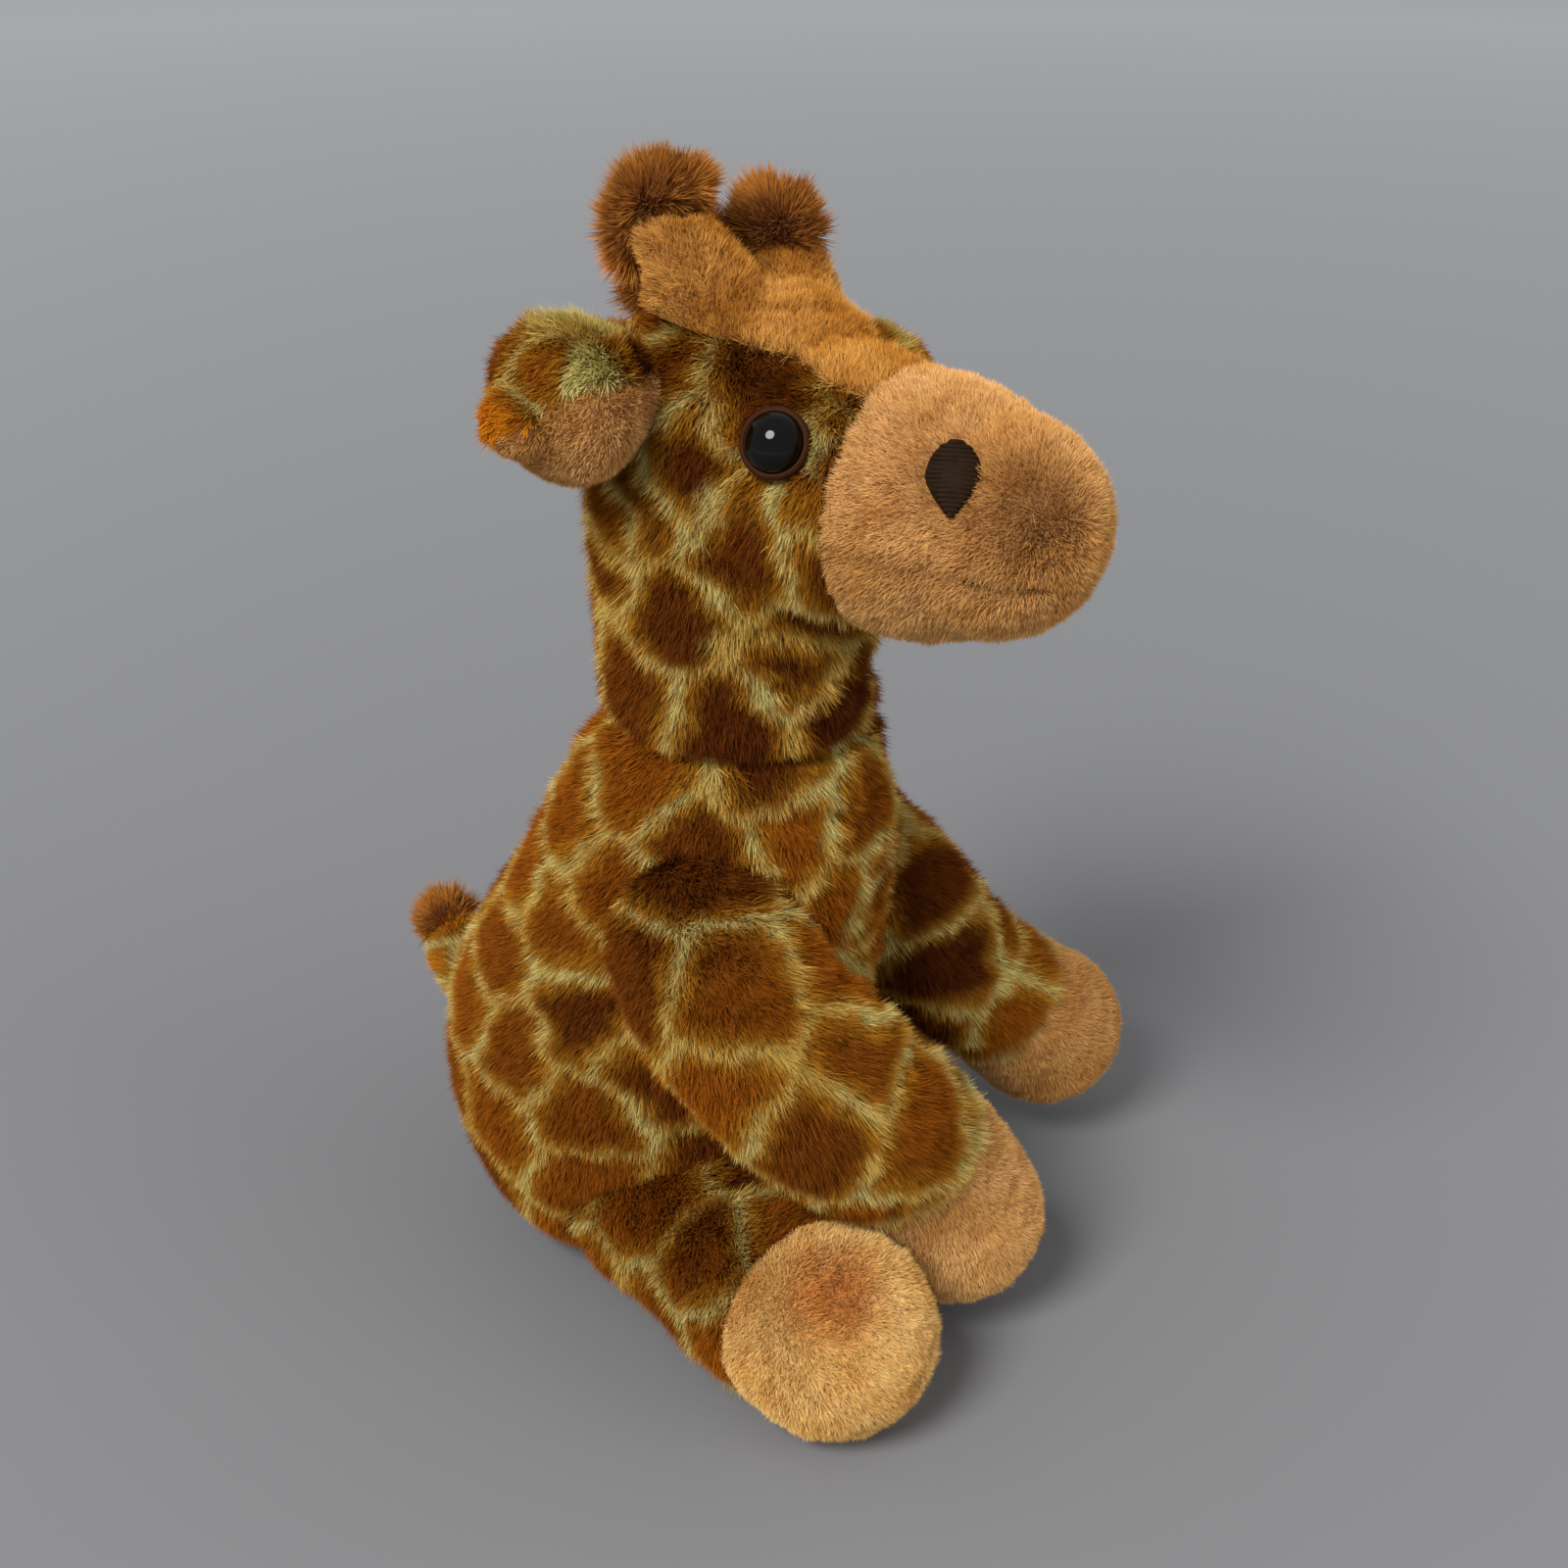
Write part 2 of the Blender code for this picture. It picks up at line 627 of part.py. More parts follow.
def build_nostril(side):
    sign = 1 if side == "right" else -1
    inside = muzzle_stations()[1][0]
    aim = head_place(sign * NOSTRIL_OUT, MUZZLE_ROOT + NOSTRIL_AHEAD, MUZZLE_UP + NOSTRIL_RISE)
    point, way = surface_hit(muzzle_stations(), inside, aim, **MUZZLE_SHAPE)
    drop = bmesh.new()
    bmesh.ops.create_uvsphere(drop, u_segments=12, v_segments=6, radius=1)
    for vert in drop.verts:
        narrowing = 1 - NOSTRIL_POINT_SHARE * max(0, -vert.co.y)
        vert.co = Vector((vert.co.x * NOSTRIL_HALF_WIDTH * narrowing, vert.co.y * NOSTRIL_HALF_HEIGHT,
                          vert.co.z * (NOSTRIL_DEPTH + GAP)))
    mesh = bpy.data.meshes.new("nostril_" + side)
    drop.to_mesh(mesh)
    drop.free()
    mesh.shade_smooth()
    nostril = add_object("nostril_" + side, mesh, "nostril_thread")
    deep = head_turn() @ Vector((0, 0, 1))
    deep -= way * way.dot(deep)
    deep.normalize()
    turn = Matrix((deep.cross(way), deep, way)).transposed().to_4x4()
    nostril.matrix_world = Matrix.Translation(point + way * GAP) @ turn
    return nostril


def build_horn(side, clear):
    sign = 1 if side == "right" else -1
    foot_up = CROWN_UP - HORN_SINK
    tuft_up = CROWN_UP + TUFT_RISES[side]
    heights = {"foot": foot_up, "top": foot_up + HORN_LENGTH, "root": tuft_up - TUFT_RADIUS / 4,
               "tuft": tuft_up}
    forward = TORSO_LEAN - HORN_BACK
    spots = {spot: head_place(sign * HORN_OUT, forward, up) for spot, up in heights.items()}
    stalk_stations = [(spots["foot"], HORN_RADIUS), (spots["top"], HORN_RADIUS)]
    tuft_stations = [(spots["root"], TUFT_RADIUS), (spots["tuft"], TUFT_RADIUS)]
    stalk = stuffed_form("horn_stalk_" + side, stalk_stations, "gold_plush", sides=12, steps=1, caps=3)
    tuft = stuffed_form("horn_tuft_" + side, tuft_stations, "tuft_pile", sides=12, steps=1, caps=3)
    stalk_clear = stuffed_form("stalk clearance " + side, stalk_stations, grow=GAP, sides=12, steps=1, caps=3)
    cut(stalk, *clear)
    cut_many(tuft, stalk_clear, *clear)
    return stalk, tuft


def build_mane(clear):
    front = TORSO_LEAN - MANE_BACK
    top = CROWN_UP - MANE_SINK
    stations = [(head_place(0, front - MANE_REACH * back, top - MANE_REACH * down), MANE_RADIUS)
                for back, down in MANE_SHARES]
    mane = stuffed_form("mane", stations, "tuft_pile", sides=10, steps=2, caps=2)
    cut(mane, *clear)
    return mane


def ear_stations(side):
    sign = 1 if side == "right" else -1
    stations = []
    for out, fall, radius in EAR_SHARES:
        reach = HEAD_RADIUS + EAR_OUT + EAR_LENGTH * out
        up = FACE_UP + EAR_RISE - EAR_DROOPS[side] * fall
        stations.append((head_place(sign * reach, TORSO_LEAN - EAR_BACK, up), EAR_RADIUS * radius))
    return stations


def build_ear(side, clear):
    stations = ear_stations(side)
    mouth = head_turn() @ place(0, math.cos(EAR_MOUTH_TILT), -math.sin(EAR_MOUTH_TILT))

    def hood_form(name, shift, grow, look=None):
        moved = [(where + mouth * shift, radius + grow) for where, radius in stations]
        return stuffed_form(name + side, moved, look, across=mouth, **EAR_SHAPE)

    root = stations[0][0]
    temples = [*clear]
    for swing in EAR_SWINGS[1:]:
        temple = stuffed_form("temple room %s %d" % (side, swing), head_stations(), grow=GAP, **HEAD_SHAPE)
        turn_about(temple, root, Vector((0, 1, 0)), -swing)
        temples.append(temple)
    back = hood_form("ear_back_", 0, 0, "patch_plush")
    lining = hood_form("ear_lining_", EAR_WALL, -GAP, "tan_velour")
    cut_many(back, *temples, hood_form("ear hood ", EAR_WALL, 0))
    keep(lining, hood_form("ear outline ", 0, -GAP), "MANIFOLD")
    cut_many(lining, *temples, hood_form("ear mouth ", EAR_WALL + EAR_LINING, -GAP))
    return back, lining, root


def build_limb(name, stations, shape, split_share, names, looks, root_cuts=()):
    """A limb's skin, its velour end past the cuff seam, and its fill, all shaped alike at the root."""
    skin_name, end_name, fill_name = names
    end_look, fill_look = looks
    point, way = part_way(stations, split_share)
    past = half_space(name + " past cuff", point, way)
    before = half_space(name + " before cuff", point + way * GAP, -way)
    inner = dict(shape, sides=10, steps=1)
    skin = stuffed_form(skin_name, stations, "patch_plush", **shape)
    hollow = stuffed_form(name + " hollow", stations, grow=-PLUSH, **inner)
    end = stuffed_form(end_name, stations, end_look, **shape)
    fill = stuffed_form(fill_name, stations, fill_look, grow=-PLUSH - FILL_GAP, **inner)
    cut_many(skin, *root_cuts, hollow, past)
    cut_many(end, *root_cuts, hollow, before)
    cut_many(fill, *root_cuts)
    return skin, end, fill


def build_arm(side, torso_pieces, leg_room):
    arm = ARMS[side]
    stations = arm_stations(side)
    normal = place(*arm["normal_shares"]).normalized()
    seam = stations[0][0] - normal * ARM_SEAM_INSET
    root_radius = stations[0][1]
    root_cuts = [leg_room, half_space("shoulder seam " + side, seam, -normal)]
    room = rod("pocket room " + side, seam - normal * OVERRUN, seam + normal * OVERRUN, root_radius + GAP,
               sides=24)
    for swing in arm["swings"]:
        belly = stuffed_form("belly clearance %s %d" % (side, swing), torso_stations(),
                             grow=TURN_GAP if swing else GAP, **TORSO_SHAPE)
        turn_about(belly, seam, normal, -swing)
        cut_many(belly, room)
        root_cuts.append(belly)
    names = ["arm_sleeve_" + side, "arm_hoof_" + side, "arm_fill_" + side]
    pieces = build_limb("arm " + side, stations, ARM_SHAPE, arm["cuff_share"], names,
                        ["tan_velour", "white_fill"], root_cuts)
    pocket = rod("shoulder pocket " + side, seam - normal * GAP, seam + normal * OVERRUN,
                 root_radius + GAP * 3, sides=24)
    for piece in torso_pieces:
        cut(piece, pocket)
    return pieces, seam


def build_leg(side, torso_pieces, floor):
    leg = LEGS[side]
    stations = leg_stations(side)
    names = ["leg_skin_" + side, "leg_foot_" + side, "leg_pellets_" + side]
    skin, foot, pellets = build_limb("leg " + side, stations, LEG_SHAPE, leg["ankle_share"], names,
                                     ["pale_velour", "pellet_fill"])
    hip = stations[0][0]
    way = (stations[1][0] - hip).normalized()
    opening = rod("hip opening " + side, hip - way * OVERRUN, hip, HIP_OPENING_RADIUS, sides=12)
    cut_many(skin, opening, floor)
    cut_many(foot, floor)
    right, forward = leg["reach"]
    axis = place(-forward, right, 0)
    rooms = []
    for swing in HIP_SWINGS:
        room = stuffed_form("leg clearance %s %d" % (side, swing), stations, grow=TURN_GAP if swing else GAP,
                            **LEG_SHAPE)
        turn_about(room, hip, axis, swing)
        rooms.append(room)
    for piece in torso_pieces:
        cut_many(piece, *rooms)
    return (skin, foot, pellets), hip, rooms[0]


def build_tail():
    root = place(0, -TORSO_RADIUS - TAIL_OUT, TAIL_UP)
    stations = [(root + place(0, -TAIL_REACH * out, TAIL_RISE * up), TAIL_RADIUS * radius)
                for out, up, radius in TAIL_SHARES]
    tip = root + place(0, -TAIL_REACH, TAIL_RISE)
    stalk = stuffed_form("tail_stalk", stations, "patch_plush", sides=12, steps=2, caps=3)
    tuft_stations = [(stations[-1][0], TAIL_TUFT_RADIUS), (tip, TAIL_TUFT_RADIUS)]
    tuft = stuffed_form("tail_tuft", tuft_stations, "tuft_pile", sides=12, steps=1, caps=3)
    cut(tuft, stuffed_form("stalk room", stations, grow=GAP, sides=12, steps=2, caps=3))
    return stalk, tuft, root


def build():
    global model, cutters
    for made in list(bpy.data.objects):
        bpy.data.objects.remove(made, do_unlink=True)
    model = collection("plush giraffe")
    cutters = collection("cutters")
    floor = half_space("below the floor", Vector((0, 0, 0)), Vector((0, 0, -1)))

    skin, fill, bag = build_torso(floor)
    torso_pieces = (skin, fill, bag)
    (neck_skin, head_skin, head_fill, forehead), clear = build_head()
    muzzle, jaw = build_muzzle(clear)
    neck = joint_axis("neck axis", place(0, TORSO_LEAN, TORSO_HEIGHT))
    hang(neck, neck_skin, head_skin, head_fill, forehead, muzzle, jaw, build_mane(clear))
    muzzle_clear = stuffed_form("muzzle clearance", muzzle_stations(), grow=GAP, **MUZZLE_SHAPE)
    for side in ("right", "left"):
        hang(neck, *build_eye(side, head_skin, head_fill))
        nostril = build_nostril(side)
        cut(nostril, muzzle_clear)
        hang(neck, nostril, *build_horn(side, clear))
        back, lining, root = build_ear(side, clear)
        hang(joint_axis("ear axis " + side, root), back, lining)
        pieces, hip, leg_room = build_leg(side, torso_pieces, floor)
        hang(joint_axis("hip axis " + side, hip), *pieces)
        pieces, seam = build_arm(side, torso_pieces, leg_room)
        hang(joint_axis("shoulder axis " + side, seam), *pieces)
    stalk, tuft, root = build_tail()
    hang(joint_axis("tail axis", root), stalk, tuft)


build()
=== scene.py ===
# %% [markdown]
# A seated plush giraffe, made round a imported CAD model.
# The CAD gives every sewn bag its place: torso, head, ears, limbs and tail. This file gives each bag its
# cloth and its pile. Everything is in metres, +Z is up, the toy looks along -Y and its left is +X.

import math

import bmesh
import bpy
import numpy as np
from mathutils import Matrix, Vector
from mathutils.bvhtree import BVHTree
from mathutils.kdtree import KDTree


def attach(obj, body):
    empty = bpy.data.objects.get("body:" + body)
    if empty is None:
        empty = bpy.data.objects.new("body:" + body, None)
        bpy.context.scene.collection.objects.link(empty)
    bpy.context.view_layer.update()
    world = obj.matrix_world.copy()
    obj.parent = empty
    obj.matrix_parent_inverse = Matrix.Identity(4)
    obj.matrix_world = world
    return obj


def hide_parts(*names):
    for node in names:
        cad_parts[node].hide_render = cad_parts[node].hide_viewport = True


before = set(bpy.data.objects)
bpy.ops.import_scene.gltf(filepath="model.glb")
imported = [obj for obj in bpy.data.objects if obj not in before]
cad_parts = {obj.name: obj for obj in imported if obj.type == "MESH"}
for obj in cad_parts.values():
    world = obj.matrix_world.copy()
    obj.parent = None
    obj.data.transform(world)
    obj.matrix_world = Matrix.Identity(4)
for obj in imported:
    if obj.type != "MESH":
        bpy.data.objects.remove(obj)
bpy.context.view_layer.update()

# %% [markdown]
# The camera comes first, because every later choice is judged through it. The toy was seen from its front
# right and from a little above, with a normal lens, so that the muzzle points to the lower right.

# %% Camera
LOOK_AT = Vector((0, -0.010, 0.120))
TO_RIGHT = Vector((0.669, -0.743, 0))
TO_TOP = Vector((0.314, 0.283, 0.906))
TO_EYE = Vector((-0.6735, -0.6064, 0.4226))
EYE_DISTANCE = 0.5
SIDE_STEP = 0.026

camera = bpy.data.objects.new("camera", bpy.data.cameras.new("camera"))
camera.data.lens = 49.95
camera.data.sensor_width = 36
camera.data.clip_start = 0.01
camera.matrix_world = Matrix((TO_RIGHT, TO_TOP, TO_EYE)).transposed().to_4x4()
camera.location = LOOK_AT + TO_RIGHT * SIDE_STEP + TO_EYE * EYE_DISTANCE
bpy.context.scene.collection.objects.link(camera)
bpy.context.scene.camera = camera
print("camera at", [round(value, 3) for value in camera.location])

# %% [markdown]
# A sewn and stuffed bag is a tube of cloth whose width follows its pattern. It could be pulled out of a
# subdivided box by hand, but rows of numbers are easier to set and to mend. So each bag here is a row of
# stations, a centre and a radius each, joined by a smooth curve and closed by a rounded cap at both ends. The
# stations lie within a few millimetres of those that shape the CAD solids, so each bag lies where its solid
# does.

# %% Stations of the stuffed bags
BAGS = {
    "torso": ((0, 0, 0, .0162), (0, 0, .0044, .0270), (0, 0, .0124, .0368), (0, 0, .0248, .0431),
              (0, 0, .0394, .0468), (0, -.0007, .0526, .0478), (0, -.0062, .0657, .0466),
              (0, -.0137, .0803, .0441), (0, -.0202, .0964, .0412), (0, -.0260, .1124, .0387),
              (0, -.0299, .1270, .0353), (0, -.0318, .1387, .0312), (0, -.0325, .1533, .0295),
              (0, -.0331, .1679, .0295)),
    "head": ((0, -.0320, .1355, .0297), (0, -.0325, .1460, .0297), (-.0012, -.0334, .1587, .0298),
             (-.0020, -.0345, .1723, .0304), (-.0021, -.0354, .1860, .0319), (-.0016, -.0361, .1996, .0328),
             (-.0005, -.0359, .2110, .0326), (.0003, -.0352, .2198, .0300), (.0008, -.0345, .2275, .0245),
             (.0010, -.0340, .2330, .0175)),
    "face": ((-.0030, -.0440, .2036, .0270), (-.0030, -.0650, .2033, .0269)),
    "brow": ((0, -.0380, .2112, .0212), (-.0018, -.0660, .2062, .0205)),
    "muzzle": ((-.0015, -.0720, .2026, .0258), (-.0015, -.0891, .2026, .0251),
               (-.0015, -.1005, .2026, .0213)),
    "arm_right": ((-.0240, -.0420, .1060, .0209), (-.0294, -.0588, .0926, .0216),
                  (-.0174, -.0728, .0720, .0216), (.0059, -.0796, .0467, .0196),
                  (.0175, -.0820, .0270, .0207)),
    "arm_left": ((.0310, -.0280, .1030, .0189), (.0485, -.0371, .0814, .0184), (.0660, -.0431, .0576, .0175),
                 (.0841, -.0501, .0396, .0189), (.0935, -.0520, .0310, .0203)),
    "leg_right": ((-.0209, -.0240, .0220, .0205), (-.0226, -.0414, .0215, .0206),
                  (-.0262, -.0575, .0208, .0206), (-.0284, -.0717, .0206, .0209),
                  (-.0294, -.0860, .0220, .0225)),
    "leg_left": ((.0250, -.0120, .0220, .0205), (.0403, -.0089, .0215, .0206), (.0557, -.0053, .0209, .0206),
                 (.0704, -.0020, .0207, .0209), (.0840, 0, .0220, .0225)),
    "ear_right": ((-.0350, -.0290, .2225, .0125), (-.0420, -.0290, .2218, .0160),
                  (-.0490, -.0290, .2208, .0150), (-.0562, -.0290, .2200, .0074)),
    "ear_left": ((.0364, -.0290, .2120, .0084), (.0430, -.0290, .2080, .0145), (.0500, -.0290, .1995, .0145),
                 (.0560, -.0290, .1885, .0074)),
    "stalk_right": ((-.0085, -.0362, .2235, .0178), (-.0142, -.0288, .2480, .0084)),
    "stalk_left": ((.0110, -.0362, .2230, .0152), (.0172, -.0282, .2440, .0070)),
    "tuft_right": ((-.0132, -.0178, .2462, .0074), (-.0154, -.0236, .2532, .0092),
                   (-.0104, -.0252, .2552, .0092)),
    "tuft_left": ((.0146, -.0335, .2362, .0090), (.0160, -.0282, .2458, .0104)),
    "mane": ((.0005, -.0185, .2415, .0088), (.0008, -.0145, .2380, .0086), (.0015, -.0110, .2325, .0080)),
    "tail": ((0, .0545, .0390, .0077), (.0005, .0640, .0400, .0085), (.0012, .0715, .0432, .0085),
             (.0018, .0750, .0475, .0075)),
    "tail_tuft": ((.0018, .0750, .0480, .0080), (.0018, .0775, .0505, .0080)),
}
# How far a cap bulges at the first and the last station, in radii. Every other bag ends in half balls.
CAPS = {"head": (0.2, 0.25), "torso": (0.03, 0.2)}
print(len(BAGS), "bags")

# %% Curve through the stations
def smooth_point(stations, along):
    """Centre and radius on the smooth curve, along counted in stations."""
    last = len(stations) - 1
    index = min(int(along), last - 1)
    t = along - index
    near = [stations[min(max(index + shift, 0), last)] for shift in (-1, 0, 1, 2)]
    weights = (
        (-t + 2 * t**2 - t**3) / 2,
        (2 - 5 * t**2 + 3 * t**3) / 2,
        (t + 4 * t**2 - 3 * t**3) / 2,
        (t**3 - t**2) / 2,
    )
    return sum(np.array(station, float) * weight for station, weight in zip(near, weights))


ROWS = 8


def bag_path(bag):
    """Rows of x, y, z and radius along a bag, eight from one station to the next."""
    stations = BAGS[bag]
    count = (len(stations) - 1) * ROWS
    return np.array([smooth_point(stations, row / ROWS) for row in range(count + 1)])


print("torso rows:", len(bag_path("torso")))

# %% Closed bag mesh
CAP_ROWS = 10


def link(name, mesh):
    made = bpy.data.objects.new(name, mesh)
    bpy.context.scene.collection.objects.link(made)
    return made


def smooth_piece(name, points, faces):
    mesh = bpy.data.meshes.new(name)
    mesh.from_pydata(points, [], faces)
    mesh.shade_smooth()
    return link(name, mesh)


def bag_mesh(bag, grow=0.0, sides=64, across=(1, 0, 0), shift=(0, 0, 0)):
    """Vertices and faces of a bag, grown or shrunk along its radius, with all faces outwards."""
    path = bag_path(bag)
    path[:, 3] += grow
    path[:, :3] += np.array(shift)
    cap_shares = CAPS.get(bag, (1, 1))
    start_way = path[1, :3] - path[0, :3]
    start_way /= np.linalg.norm(start_way)
    end_way = path[-1, :3] - path[-2, :3]
    end_way /= np.linalg.norm(end_way)
    rows = []
    for ring in range(CAP_ROWS):
        turn = math.pi / 2 * ring / CAP_ROWS
        back = start_way * path[0, 3] * cap_shares[0] * math.cos(turn)
        rows.append([*(path[0, :3] - back), path[0, 3] * math.sin(turn)])
    rows += path.tolist()
    for ring in range(CAP_ROWS):
        turn = math.pi / 2 * (CAP_ROWS - 1 - ring) / CAP_ROWS
        front = end_way * path[-1, 3] * cap_shares[1] * math.cos(turn)
        rows.append([*(path[-1, :3] + front), path[-1, 3] * math.sin(turn)])
    rows = np.array(rows)
    centres = rows[:, :3]
    ways = np.gradient(centres, axis=0)
    ways /= np.linalg.norm(ways, axis=1)[:, None]
    sideways = np.array(across, float) - ways * (ways @ np.array(across, float))[:, None]
    sideways /= np.linalg.norm(sideways, axis=1)[:, None]
    deep = np.cross(ways, sideways)
    turns = np.linspace(0, 2 * math.pi, sides, endpoint=False)
    points = [tuple(centres[0])]
    for row in range(1, len(rows) - 1):
        ring = centres[row] + rows[row, 3] * (np.cos(turns)[:, None] * sideways[row]
                                              + np.sin(turns)[:, None] * deep[row])
        points += [tuple(point) for point in ring]
    points.append(tuple(centres[-1]))
    faces = []
    rings = len(rows) - 2
    for side in range(sides):
        after = (side + 1) % sides
        faces.append((0, 1 + after, 1 + side))
        for ring in range(rings - 1):
            low = 1 + ring * sides
            faces.append((low + side, low + after, low + sides + after, low + sides + side))
        top = 1 + (rings - 1) * sides
        faces.append((top + side, top + after, len(points) - 1))
    return points, faces


def make_bag(name, bag, grow=0.0, **form):
    return smooth_piece(name, *bag_mesh(bag, grow, **form))


print("a torso bag has", len(bag_mesh("torso", sides=96)[1]), "faces")

# %% [markdown]
# Where two bags meet, the cloth of one is cut back to leave room for the other, as in the CAD. Cloth panels
# could be stitched edge to edge instead, but then no limb could turn. The cuts are booleans with tools made
# from the same bags. What a cut leaves inside a seam is told later by its distance from the bag's own skin,
# and no pile grows there.

# %% Cutting helpers
SLAB_EDGE = 0.3


def evaluated_mesh(piece):
    """The mesh that a piece has once its modifiers have run."""
    return bpy.data.meshes.new_from_object(piece.evaluated_get(bpy.context.evaluated_depsgraph_get()))


def shape(piece, tool, operation="DIFFERENCE"):
    """Applies one boolean to a piece and throws the tool away."""
    step = piece.modifiers.new("cut", "BOOLEAN")
    step.operation = operation
    step.solver = "MANIFOLD"
    step.object = tool
    bpy.context.view_layer.update()
    shaped = evaluated_mesh(piece)
    piece.modifiers.clear()
    old = piece.data
    piece.data = shaped
    bpy.data.meshes.remove(old)
    bpy.data.objects.remove(tool, do_unlink=True)


def from_bmesh(name, made):
    mesh = bpy.data.meshes.new(name)
    made.to_mesh(mesh)
    made.free()
    return link(name, mesh)


def standing(place, way):
    """Moves what is made round the Z axis to a place, with its Z along a way."""
    return Matrix.Translation(place) @ way.to_track_quat("Z", "Y").to_matrix().to_4x4()


def slab(name, point, normal):
    """A large box on the side of a plane that its normal points to."""
    box = bmesh.new()
    bmesh.ops.create_cube(box, size=SLAB_EDGE)
    way = Vector(normal).normalized()
    box.transform(standing(Vector(point) + way * SLAB_EDGE / 2, way))
    return from_bmesh(name, box)


def round_tool(name, start, end, radius):
    """A straight round cutter between two places."""
    way = end - start
    pipe = bmesh.new()
    bmesh.ops.create_cone(pipe, cap_ends=True, segments=64, radius1=radius, radius2=radius, depth=way.length)
    pipe.transform(standing((start + end) / 2, way))
    return from_bmesh(name, pipe)


def turned(tool, pivot, axis, degrees):
    turn = Matrix.Rotation(math.radians(degrees), 4, Vector(axis))
    tool.data.transform(Matrix.Translation(Vector(pivot)) @ turn @ Matrix.Translation(-Vector(pivot)))
    return tool

# %% [markdown]
# The cloth of a plush toy lies a few millimetres under the tips of its pile, so each cloth bag is made that
# much smaller than its solid. The pile fills the space between.

# %% Depths of the piles
BODY_DEPTH = 0.0022
VELOUR_DEPTH = 0.0010
SHORT_DEPTH = 0.0012
TAIL_DEPTH = 0.0016
TUFT_DEPTH = 0.0040
TAIL_TUFT_DEPTH = 0.0030
# Left free between two bags, between a bag and where another may turn to, and between two panels of a bag.
ROOM = 0.0004
TURN_ROOM = 0.0009
PANEL_GAP = 0.0003
print("cloth lies", BODY_DEPTH * 1000, "mm under the plush tips")

# %% [markdown]
# The torso is one bag, flat where it sits. Each limb joins it at a seam: a place, the way that the seam
# faces, and the angles the limb may swing to, which all have to stay free.

# %% Torso cloth
LIMBS = {
    "right": {
        "seam": (-.0233, -.0407, .1064), "normal": (-.4791, -.8385, -.2595), "swings": (0, 15, 30),
        "root": .0209, "cuff": (.0024, -.0788, .0518), "cuff_way": (.573, -.142, -.808),
        "hip": (-.0209, -.0240, .0220), "hip_axis": (.9907, -.1358, 0),
        "ankle": (-.0285, -.0730, .0205), "ankle_way": (-.125, -.992, .016),
    },
    "left": {
        "seam": (.0296, -.0275, .1030), "normal": (.9404, -.3401, 0), "swings": (0, -45, -30, -15, 8),
        "root": .0189, "cuff": (.0794, -.0485, .0443), "cuff_way": (.701, -.231, -.675),
        "hip": (.0250, -.0120, .0220), "hip_axis": (-.1993, .9799, 0),
        "ankle": (.0676, -.0026, .0206), "ankle_way": (.980, .198, .011),
    },
}
POCKET_REACH = .06
NECK_TOP = (0, -.0325, .1460)
FLOOR_CUT = .0003
LEG_ACROSS = (0, 0, 1)
HIP_SWINGS = (0, 15, 30)


def leg_rooms(side):
    """The leg's own bag at rest and turned, a little grown: what the torso and the arm leave free."""
    limb = LIMBS[side]
    rooms = []
    for swing in HIP_SWINGS:
        room = make_bag("leg room", "leg_" + side, TURN_ROOM if swing else ROOM, across=LEG_ACROSS)
        rooms.append(turned(room, limb["hip"], limb["hip_axis"], swing))
    return rooms


def below_floor():
    return slab("below floor", (0, 0, FLOOR_CUT), (0, 0, -1))


torso = make_bag("torso_cloth", "torso", -BODY_DEPTH, sides=96)
shape(torso, slab("above neck", NECK_TOP, (0, 0, 1)))
shape(torso, below_floor())
for side, limb in LIMBS.items():
    seam = Vector(limb["seam"])
    normal = Vector(limb["normal"])
    start, end = seam - normal * ROOM, seam + normal * POCKET_REACH
    shape(torso, round_tool("pocket", start, end, limb["root"] + ROOM))
    for room in leg_rooms(side):
        shape(torso, room)
print("torso cloth:", len(torso.data.polygons), "faces")

# %% [markdown]
# The neck and head are one tube with a short barrel for the face standing out of it. On the real toy the
# forehead is a panel of shorter golden plush let into the patterned cloth. One bag with two colours would
# show no seam there, so the panel is a piece of its own, cut from the same bag by a sloping block.

# %% Head, forehead, muzzle and jaw cloth
HEAD_TURN = Matrix.Rotation(math.radians(5), 4, "Y")
HEAD_PIVOT = Vector((0, -.0440, .2180))
HEAD_FOOT = (0, -.0325, .1464)
BROW_SIZE = (.080, .078, .060)
BROW_SLOPE = Matrix.Rotation(math.radians(12), 4, "X")


def head_place(right, forward, up):
    return HEAD_PIVOT + HEAD_TURN @ (Vector((-right, -forward, up)) - HEAD_PIVOT)


def forehead_block(grow):
    """What lies above the sloping seam round the brow, from behind the horns to the muzzle."""
    slope = HEAD_TURN @ BROW_SLOPE
    box = bmesh.new()
    bmesh.ops.create_cube(box, size=1)
    box.transform(Matrix.Diagonal([edge + grow for edge in BROW_SIZE] + [1]))
    bmesh.ops.bevel(box, geom=box.edges[:], offset=.008, segments=6, affect="EDGES")
    middle = head_place(0, .057, .2278) + slope @ Vector((0, 0, BROW_SIZE[2] / 2))
    box.transform(Matrix.Translation(middle) @ slope)
    return from_bmesh("forehead block", box)


def face_and_head(name, grow, sides=96):
    made = make_bag(name, "head", grow, sides=sides)
    shape(made, make_bag("face", "face", grow, sides=sides), "UNION")
    shape(made, make_bag("brow", "brow", grow, sides=sides), "UNION")
    return made


